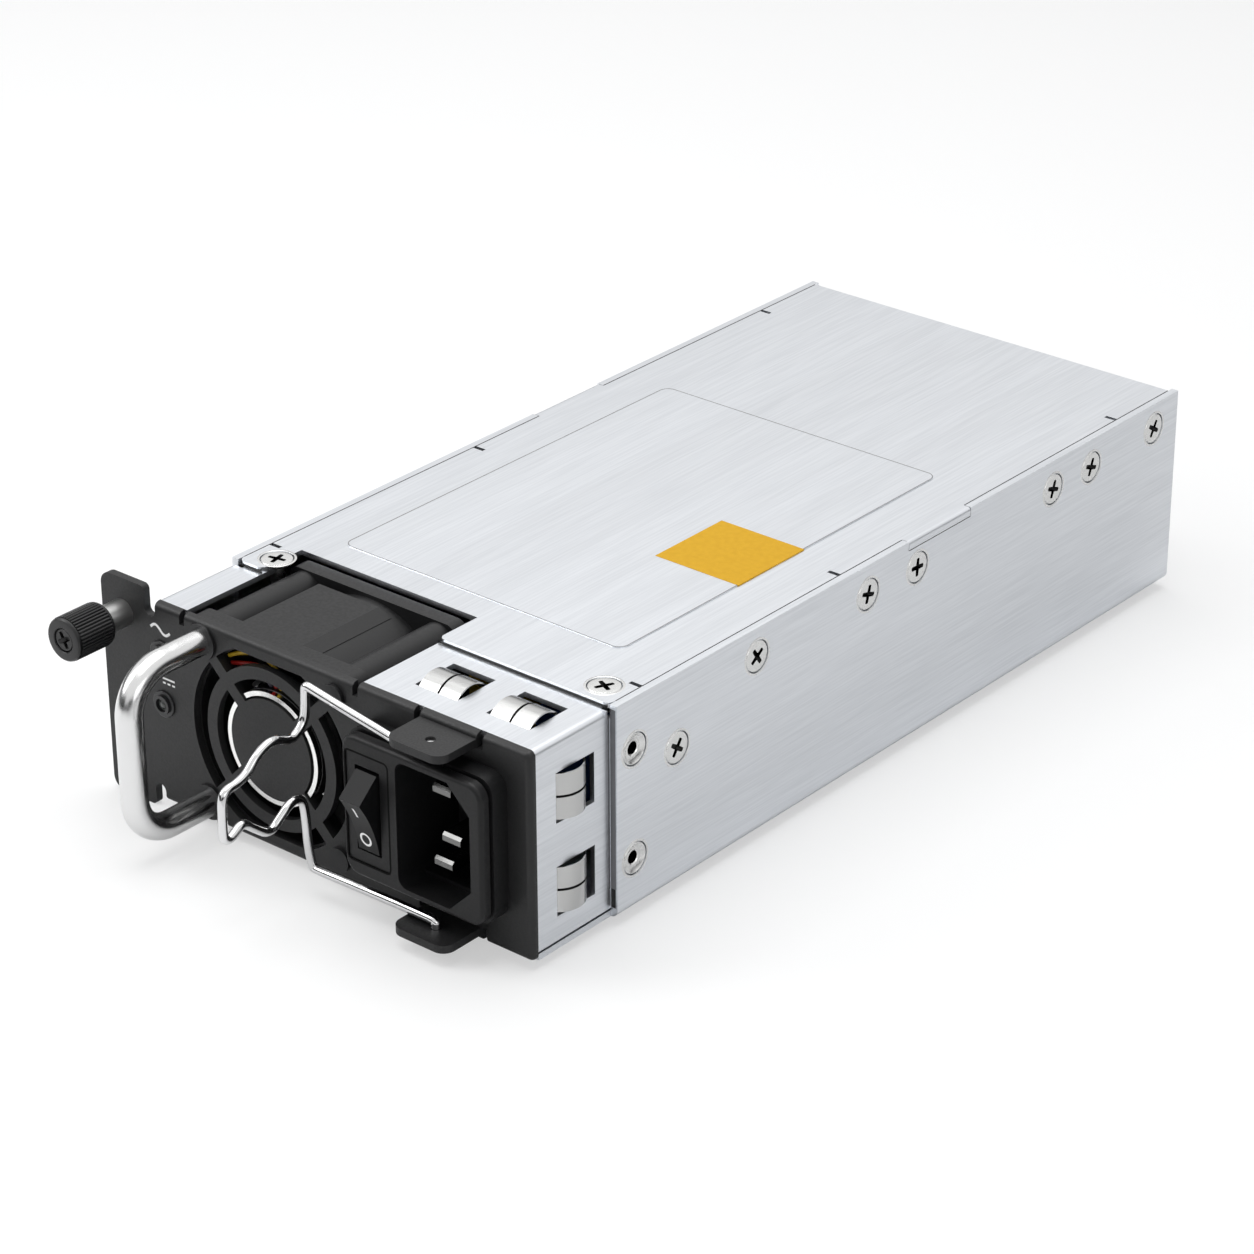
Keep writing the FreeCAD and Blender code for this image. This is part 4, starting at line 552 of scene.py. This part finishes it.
def grown(name, start, tree, settings):
    """Runs a node tree on a mesh and keeps the result as a plain mesh."""
    holder = bpy.data.objects.new(name, start)
    bpy.context.collection.objects.link(holder)
    modifier = holder.modifiers.new("grow", "NODES")
    modifier.node_group = tree
    for item in tree.interface.items_tree:
        if item.item_type == "SOCKET" and item.in_out == "INPUT" and item.name in settings:
            modifier[item.identifier] = settings[item.name]
    graph = bpy.context.evaluated_depsgraph_get()
    plain = bpy.data.meshes.new_from_object(holder.evaluated_get(graph))
    holder.modifiers.clear()
    holder.data = plain
    return holder


knurl = bpy.data.node_groups.new("straight_knurl", "GeometryNodeTree")
group_input(knurl, "Blank", "NodeSocketGeometry")
group_input(knurl, "Ribs", "NodeSocketInt", 42)
group_input(knurl, "Rib radius", "NodeSocketFloat", 0.0003)
group_input(knurl, "Rib length", "NodeSocketFloat", 0.006)
group_input(knurl, "Rib circle", "NodeSocketFloat", 0.004)
group_input(knurl, "Rib middle", "NodeSocketFloat", 0.0)
group_input(knurl, "Finish", "NodeSocketMaterial")
knurl.interface.new_socket(name="Knob", in_out="OUTPUT", socket_type="NodeSocketGeometry")
given = knurl.nodes.new("NodeGroupInput")
ring = knurl.nodes.new("GeometryNodeMeshCircle")
rib = knurl.nodes.new("GeometryNodeMeshCylinder")
rib.inputs["Vertices"].default_value = 8
along = knurl.nodes.new("ShaderNodeCombineXYZ")
shift = knurl.nodes.new("GeometryNodeTransform")
spread = knurl.nodes.new("GeometryNodeInstanceOnPoints")
both = knurl.nodes.new("GeometryNodeJoinGeometry")
real = knurl.nodes.new("GeometryNodeRealizeInstances")
paint = knurl.nodes.new("GeometryNodeSetMaterial")
result = knurl.nodes.new("NodeGroupOutput")
for source, target in ((given.outputs["Ribs"], ring.inputs["Vertices"]),
                       (given.outputs["Rib circle"], ring.inputs["Radius"]),
                       (given.outputs["Rib radius"], rib.inputs["Radius"]),
                       (given.outputs["Rib length"], rib.inputs["Depth"]),
                       (ring.outputs["Mesh"], spread.inputs["Points"]),
                       (rib.outputs["Mesh"], shift.inputs["Geometry"]),
                       (given.outputs["Rib middle"], along.inputs["Z"]),
                       (along.outputs["Vector"], shift.inputs["Translation"]),
                       (shift.outputs["Geometry"], spread.inputs["Instance"]),
                       (given.outputs["Blank"], both.inputs["Geometry"]),
                       (spread.outputs["Instances"], both.inputs["Geometry"]),
                       (both.outputs["Geometry"], real.inputs["Geometry"]),
                       (real.outputs["Geometry"], paint.inputs["Geometry"]),
                       (given.outputs["Finish"], paint.inputs["Material"]),
                       (paint.outputs["Geometry"], result.inputs[0])):
    knurl.links.new(source, target)

thumb_x, thumb_z, knob_face = -52.4, 35.4, -14.4
blank_profile = [(2.85, -3.5), (1.6, -3.5), (1.6, -0.6), (2.2, -0.55), (2.32, -0.1), (2.42, -0.02), (3.7, -0.02),
                 (3.86, -0.06), (4.08, -0.35), (4.08, -0.7), (3.85, -0.85), (3.85, -8.2), (4.1, -8.32),
                 (4.1, -8.6), (3.9, -8.9), (3.6, -9.0), (2.85, -9.0)]
blank_profile = [(r / 1000, h / 1000) for r, h in blank_profile]
verts, faces = rings_mesh(blank_profile, 48, True)
blank = faced("knob_blank", verts, faces)
blank.shade_smooth()
blank.set_sharp_from_angle(angle=math.radians(28))
knob = grown("thumbscrew_grip", blank, knurl,
             {"Ribs": 42, "Rib radius": 0.00025, "Rib length": 0.0074, "Rib circle": 0.00396,
              "Rib middle": -0.0045, "Finish": knob_black})
to_front = Matrix.Translation(spot(thumb_x, knob_face, thumb_z)) @ Matrix.Rotation(math.radians(90), 4, "X")
knob.data.transform(to_front)
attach(knob, "thumbscrew")
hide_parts("thumbscrew_knob")

screw_profile = [(0.0, -19.6), (1.2, -19.6), (1.75, -19.05)]
for turn in range(4):
    foot_at = -19.0 + 0.55 * turn
    screw_profile += [(1.75, foot_at), (1.42, foot_at + 0.22), (1.42, foot_at + 0.3), (1.75, foot_at + 0.5)]
screw_profile += [(1.75, -16.75), (1.45, -16.7), (1.45, -1.2), (2.12, -1.15), (2.12, -0.35), (1.98, -0.2)]
screw_profile = [(r / 1000, h / 1000) for r, h in screw_profile]
head_mesh = cross_head("thumbscrew_driver", screw_profile, 0.00158, 0.00042, 0.0011)
head_mesh.transform(Matrix.Translation(spot(thumb_x, knob_face, thumb_z))
                    @ Matrix.Rotation(math.radians(90), 4, "X") @ Matrix.Rotation(math.radians(28), 4, "Z"))
head_mesh.materials.append(knob_black)
driver = bpy.data.objects.new("thumbscrew_driver", head_mesh)
bpy.context.collection.objects.link(driver)
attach(driver, "thumbscrew")
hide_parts("thumbscrew_screw")

coil_radius, coil_start, coil_length, coil_turns, coil_steps = 2.09, -11.25, 4.65, 3, 72
coil_line = []
for step in range(coil_steps + 1):
    turn = math.tau * step / (coil_steps // coil_turns)
    coil_line.append((thumb_x + coil_radius * math.cos(turn), coil_start + coil_length * step / coil_steps,
                      thumb_z + coil_radius * math.sin(turn)))
coil = wire("thumbscrew_coil", coil_line, 0.2, spring_bright, "housing")
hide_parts("thumbscrew_spring")
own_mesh(coil)

# ---------------------------------------------------------------- mains inlet and switch
# One moulded black housing snapped into the panel, with the rocker switch beside the socket.  The
# rocker's on and off signs are printed white on its hollow face.
inlet_black, tree, shader = finish("inlet_black", (0.0075, 0.0075, 0.008), 0.0, 0.42, 0.26)
moulded = grain(tree, 1800.0, (1, 1, 1), 2.0)
shade_between(tree, moulded, (0.40,) * 3, (0.50,) * 3, shader.inputs["Roughness"])
relief(tree, moulded, shader, 0.08, 0.0001)
dress(inlet_black, "inlet_housing", "switch_body")
rocker_black, tree, shader = finish("rocker_black", (0.0045, 0.0045, 0.005), 0.0, 0.42, 0.18)
relief(tree, grain(tree, 2200.0), shader, 0.05, 0.0001)
dress(rocker_black, "switch_rocker")
pin_plate, tree, shader = finish("pin_plate", (0.17, 0.17, 0.168), 1.0, 0.28)
shade_between(tree, grain(tree, 300.0), (0.20,) * 3, (0.28,) * 3, shader.inputs["Roughness"])
dress(pin_plate, "inlet_pins")


def on_rocker(x, z, up):
    """A point on the rocker's hollow face, which is part of a cylinder along X."""
    hollow_radius, hollow_y, hollow_z = 27.9598, -33.6246, -12.1163
    face = hollow_y + math.sqrt(hollow_radius ** 2 - (z - hollow_z) ** 2)
    return spot(12.15 + x, face + 0.01 - 0.04 * up, 20.7 + z)


def hollow_line(x, z0, z1, steps):
    """An upright line in short steps, so that it can follow the hollow."""
    return [(x, z0 + (z1 - z0) * k / steps) for k in range(steps + 1)]


mark_verts, mark_faces = [], []
add_mark(*strip(hollow_line(-0.15, 2.0, -0.1, 6), 0.42, False, on_rocker))
ring_line = [(-0.2 + 1.08 * math.cos(2 * math.pi * k / 36), -5.3 + 1.2 * math.sin(2 * math.pi * k / 36))
             for k in range(36)]
add_mark(*strip(ring_line, 0.42, True, on_rocker))
piece("rocker_signs", print_white, mark_verts, mark_faces, "rocker")


def rounded(left, right_end, front, rear, corner, steps=8):
    """A closed rectangle with round corners."""
    points = []
    for cx, cy, first in ((right_end - corner, rear - corner, 0), (left + corner, rear - corner, 90),
                          (left + corner, front + corner, 180), (right_end - corner, front + corner, 270)):
        for k in range(steps + 1):
            angle = math.radians(first + 90 * k / steps)
            points.append((cx + corner * math.cos(angle), cy + corner * math.sin(angle)))
    return points


# Painted shade: a thin black strip round the switch frame darkens the joint between switch and bezel.
verts, faces = strip(rounded(7.2, 17.1, 10.05, 31.35, 1.0), 0.34, True,
                     lambda x, z, up: spot(x, -6.09 - 0.03 * up, z))
piece("switch_gap", gap_shade_black, verts, faces, "housing")

# ---------------------------------------------------------------- status lights
# Raised dark rings pressed into the panel, each round the domed end of a clear light pipe.
ring_black, tree, shader = finish("ring_black", (0.014, 0.014, 0.015), 0.0, 0.28, 0.45)
relief(tree, grain(tree, 2200.0), shader, 0.05, 0.0001)
dress(ring_black, "light_holders")
pipe_clear, tree, shader = finish("pipe_clear", (0.055, 0.060, 0.058), 0.0, 0.10, 0.6)
shade_between(tree, grain(tree, 1200.0), (0.07,) * 3, (0.13,) * 3, shader.inputs["Roughness"])
dress(pipe_clear, "light_pipes")

# ---------------------------------------------------------------- screws and rivets
# Zinc plated flat-head screws with a cross recess hold the sheets together, and hollow rivets hold
# the nose.  Each sits in a dimple whose edge stands a little proud.
# Painted shade: faces marked sunk, in the cross recesses and inside the rivets' holes, are painted near black.
plated, tree, shader = finish("plated_steel", (0.70, 0.70, 0.69), 1.0, 0.27)
mark = tree.nodes.new("ShaderNodeAttribute")
mark.attribute_name = "sunk"
shade_between(tree, mark.outputs["Fac"], (0.72, 0.72, 0.71), (0.012, 0.012, 0.012),
              shader.inputs["Base Color"], (0.3, 0.7))
shade_between(tree, grain(tree, 400.0), (0.24,) * 3, (0.30,) * 3, shader.inputs["Roughness"])

fasteners = bpy.data.node_groups.new("set_fasteners", "GeometryNodeTree")
group_input(fasteners, "Places", "NodeSocketGeometry")
group_input(fasteners, "Head", "NodeSocketObject")
group_input(fasteners, "Head scale", "NodeSocketFloat", 1.0)
group_input(fasteners, "Turn seed", "NodeSocketInt", 5)
group_input(fasteners, "Finish", "NodeSocketMaterial")
fasteners.interface.new_socket(name="Fasteners", in_out="OUTPUT", socket_type="NodeSocketGeometry")
given = fasteners.nodes.new("NodeGroupInput")
facing = fasteners.nodes.new("GeometryNodeInputNamedAttribute")
facing.data_type = "FLOAT_VECTOR"
facing.inputs["Name"].default_value = "facing"
aim = fasteners.nodes.new("FunctionNodeAlignRotationToVector")
aim.axis = "Z"
chance = fasteners.nodes.new("FunctionNodeRandomValue")
chance.data_type = "FLOAT"
chance.inputs[2].default_value = 0.0
chance.inputs[3].default_value = math.pi / 2
about = fasteners.nodes.new("FunctionNodeAxisAngleToRotation")
about.inputs["Axis"].default_value = (0, 0, 1)
turn_in = fasteners.nodes.new("FunctionNodeRotateRotation")
turn_in.rotation_space = "LOCAL"
model = fasteners.nodes.new("GeometryNodeObjectInfo")
spread = fasteners.nodes.new("GeometryNodeInstanceOnPoints")
real = fasteners.nodes.new("GeometryNodeRealizeInstances")
paint = fasteners.nodes.new("GeometryNodeSetMaterial")
result = fasteners.nodes.new("NodeGroupOutput")
facing_out = next(s for s in facing.outputs if s.enabled and s.name == "Attribute")
chance_out = next(s for s in chance.outputs if s.enabled)
seed_in = next(s for s in chance.inputs if s.enabled and s.name == "Seed")
for source, target in ((facing_out, aim.inputs["Vector"]), (given.outputs["Turn seed"], seed_in),
                       (chance_out, about.inputs["Angle"]),
                       (aim.outputs[0], turn_in.inputs["Rotation"]),
                       (about.outputs[0], turn_in.inputs["Rotate By"]),
                       (given.outputs["Head"], model.inputs["Object"]),
                       (given.outputs["Places"], spread.inputs["Points"]),
                       (model.outputs["Geometry"], spread.inputs["Instance"]),
                       (turn_in.outputs[0], spread.inputs["Rotation"]),
                       (given.outputs["Head scale"], spread.inputs["Scale"]),
                       (spread.outputs["Instances"], real.inputs["Geometry"]),
                       (real.outputs["Geometry"], paint.inputs["Geometry"]),
                       (given.outputs["Finish"], paint.inputs["Material"]),
                       (paint.outputs["Geometry"], result.inputs[0])):
    fasteners.links.new(source, target)


def set_fasteners(name, model_mesh, places, scale, seed, stands_for):
    """Copies of one fastener at the given places, each with the direction that it faces."""
    points = bpy.data.meshes.new(name)
    points.from_pydata([spot(*place) for place, _ in places], [], [])
    facing = points.attributes.new("facing", "FLOAT_VECTOR", "POINT")
    facing.data.foreach_set("vector", [value for _, way in places for value in way])
    sample = bpy.data.objects.new(name + "_model", model_mesh)
    bpy.context.collection.objects.link(sample)
    made = grown(name, points, fasteners, {"Head": sample, "Head scale": scale, "Turn seed": seed,
                                           "Finish": plated})
    bpy.data.objects.remove(sample)
    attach(made, "housing")
    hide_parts(stands_for)


def millimetres(profile):
    """The same profile in metres."""
    return [(radius / 1000, height / 1000) for radius, height in profile]


dimple_lip = millimetres([(3.15, -0.10), (3.15, 0.02), (3.22, 0.05), (3.42, 0.045), (3.58, -0.005), (3.58, -0.10)])
screw_shape = cross_head("flat_head", millimetres([(0.0, -4.6), (1.4, -4.6), (1.4, -0.9), (2.6, -0.9), (3.0, -0.5),
                                                   (3.0, -0.22), (2.86, -0.06), (2.66, -0.02)]),
                         0.00172, 0.00040, 0.0008, 40, dimple_lip)
body_half, body_top = 45.0, 41.0
side_rows = [(36.3, 26.6), (58.2, 35.4), (90.3, 35.1), (105.2, 34.9), (148.5, 35.0), (161.2, 35.1),
             (182.8, 35.7)]
set_fasteners("side_screw_heads", screw_shape,
              [((side * body_half, y, z), (side, 0, 0)) for side in (1, -1) for y, z in side_rows],
              1.0, 11, "side_screws")
set_fasteners("cover_screw_heads", screw_shape,
              [((side * 38.4, 25.0, body_top), (0, 0, 1)) for side in (1, -1)], 1.0, 4, "cover_screws")
rivet_profile = millimetres([(1.45, -3.2), (1.45, -0.9), (3.0, -0.9), (3.0, -0.22), (2.86, -0.04), (2.72, -0.0),
                             (2.05, -0.45), (1.8, -0.5), (1.62, -0.42), (1.42, -0.42), (1.2, -0.6), (1.12, -0.9),
                             (1.12, -3.2)])
verts, faces = rings_mesh(rivet_profile, 40, True)
lip_verts, lip_faces = rings_mesh(dimple_lip, 40, True)
base = len(verts)
rivet_shape = bpy.data.meshes.new("hollow_rivet")
rivet_shape.from_pydata(verts + lip_verts, [], faces + [tuple(base + k for k in face) for face in lip_faces])
work = bmesh.new()
work.from_mesh(rivet_shape)
sunk = work.faces.layers.float.new("sunk")
bmesh.ops.recalc_face_normals(work, faces=work.faces)
# Faces inside the rivet's hole are marked sunk, to be painted near black as shade.
for face in work.faces:
    middle = face.calc_center_median()
    face[sunk] = 1.0 if math.hypot(middle.x, middle.y) < 0.00119 else 0.0
work.to_mesh(rivet_shape)
work.free()
rivet_shape.shade_smooth()
rivet_shape.set_sharp_from_angle(angle=math.radians(25))
set_fasteners("nose_rivets", rivet_shape,
              [((side * body_half, 25.0, z), (side, 0, 0)) for side in (1, -1) for z in (9.9, 31.1)],
              1.0, 2, "side_rivets")
dress(nickel, "board_screws")

# ---------------------------------------------------------------- seams
# Painted shade: thin black and dark grey strips stand for the shade in the step behind the nose, under
# the cover's front edge and down the side, and dark lines for the shade in the joint along each edge of the cover.
seam_shade_black, tree, shader = finish("seam_shade_black", (0.012, 0.012, 0.012), 0.0, 0.5, 0.3)
relief(tree, grain(tree, 1200.0), shader, 0.1, 0.00005)
step_shade_grey, tree, shader = finish("step_shade_grey", (0.20, 0.20, 0.21), 0.7, 0.4)
relief(tree, grain(tree, 1200.0, (1, 0.05, 1)), shader, 0.1, 0.00005)


def on_step(x, z, up):
    """A point just in front of the step behind the nose."""
    return spot(x, 20.29 - 0.03 * up, z)


mark_verts, mark_faces = [], []
for start, stop, width in (((4.9, 40.28), (43.1, 40.28), 0.5), ((-43.1, 40.28), (-37.6, 40.28), 0.5),
                           ((44.1, 1.9), (44.1, 5.6), 1.0)):
    add_mark(*strip([start, stop], width, False, on_step))
piece("seam_tape", seam_shade_black, mark_verts, mark_faces, "housing")
mark_verts, mark_faces = [], []
add_mark(*strip([(44.15, 5.6), (44.15, 40.2)], 1.1, False, on_step))
add_mark(*strip([(19.95, 5.6), (19.95, 39.0)], 0.35, False, lambda y, z, up: spot(43.49 + 0.03 * up, y, z)))
piece("step_tape", step_shade_grey, mark_verts, mark_faces, "housing")
# Painted shade: dark lines along the cover's joints.
mark_verts, mark_faces = [], []
for side in (1, -1):
    for start, stop in ((21.9, 102.2), (121.6, 189.6)):
        add_mark(*strip([(side * 43.45, start), (side * 43.45, stop)], 0.2, False,
                        lambda x, y, up: spot(x, y, 40.99 + 0.03 * up)))
    add_mark(*strip([(102.5, 39.25), (121.3, 39.25)], 0.16, False,
                    lambda y, z, up: spot(side * (44.99 + 0.03 * up), y, z)))
piece("seam_sealer", seam_shade_black, mark_verts, mark_faces, "housing")

# ---------------------------------------------------------------- labels
# A blank silver film with a fine grey line drawn along its edge, and a plain orange-yellow marker film,
# both self-adhesive.
label_film = brushed_steel("label_film", (0.69, 0.71, 0.74), (0.765, 0.785, 0.815), along_case)
dress(label_film, "rating_label")
marker_film, tree, shader = finish("marker_film", (0.62, 0.345, 0.012), 0.0, 0.5, 0.2)
shade_between(tree, grain(tree, 800.0), (0.60, 0.33, 0.010), (0.64, 0.36, 0.014), shader.inputs["Base Color"])
dress(marker_film, "marker_label")
edge_grey, tree, shader = finish("edge_grey", (0.22, 0.22, 0.23), 0.0, 0.5)
shade_between(tree, grain(tree, 900.0), (0.20,) * 3, (0.25,) * 3, shader.inputs["Base Color"])
verts, faces = strip(rounded(-33.12, 32.12, 36.78, 128.52, 2.0), 0.2, True,
                     lambda x, y, up: spot(x, y, 41.145 + 0.02 * up))
piece("label_edge", edge_grey, verts, faces, "housing")

# ---------------------------------------------------------------- inside
# Boards and parts behind the sheets, each in its usual colour.
inside = {
    "board_green": ((0.02, 0.12, 0.05), 0.0, 0.5, ("main_board", "output_board", "control_board")),
    "standoff_brass": ((0.65, 0.45, 0.16), 1.0, 0.3, ("board_standoffs",)),
    "insulation_film": ((0.7, 0.7, 0.65), 0.0, 0.4, ("insulation_sheet",)),
    "contact_gold": ((0.85, 0.58, 0.18), 1.0, 0.2, ("output_contacts",)),
    "capacitor_sleeve": ((0.02, 0.02, 0.03), 0.0, 0.3, ("bulk_capacitors", "output_capacitors")),
    "ferrite_green": ((0.05, 0.14, 0.08), 0.0, 0.5, ("filter_choke", "boost_inductor")),
    "film_yellow": ((0.7, 0.5, 0.06), 0.0, 0.35, ("film_capacitors",)),
    "fuse_white": ((0.75, 0.74, 0.7), 0.0, 0.4, ("mains_fuse",)),
    "relay_blue": ((0.02, 0.06, 0.22), 0.0, 0.35, ("inrush_relay",)),
    "sink_aluminium": ((0.65, 0.65, 0.66), 1.0, 0.4, ("primary_heatsink", "secondary_heatsink")),
    "package_black": ((0.02, 0.02, 0.02), 0.0, 0.5, ("power_transistors",)),
    "ferrite_black": ((0.03, 0.03, 0.035), 0.0, 0.6, ("transformer_core",)),
    "tape_yellow": ((0.75, 0.55, 0.08), 0.0, 0.35, ("transformer_winding",)),
}
for name, (colour, metallic, roughness, dressed) in inside.items():
    material, tree, shader = finish(name, colour, metallic, roughness)
    relief(tree, grain(tree, 900.0), shader, 0.1, 0.0001)
    dress(material, *dressed)
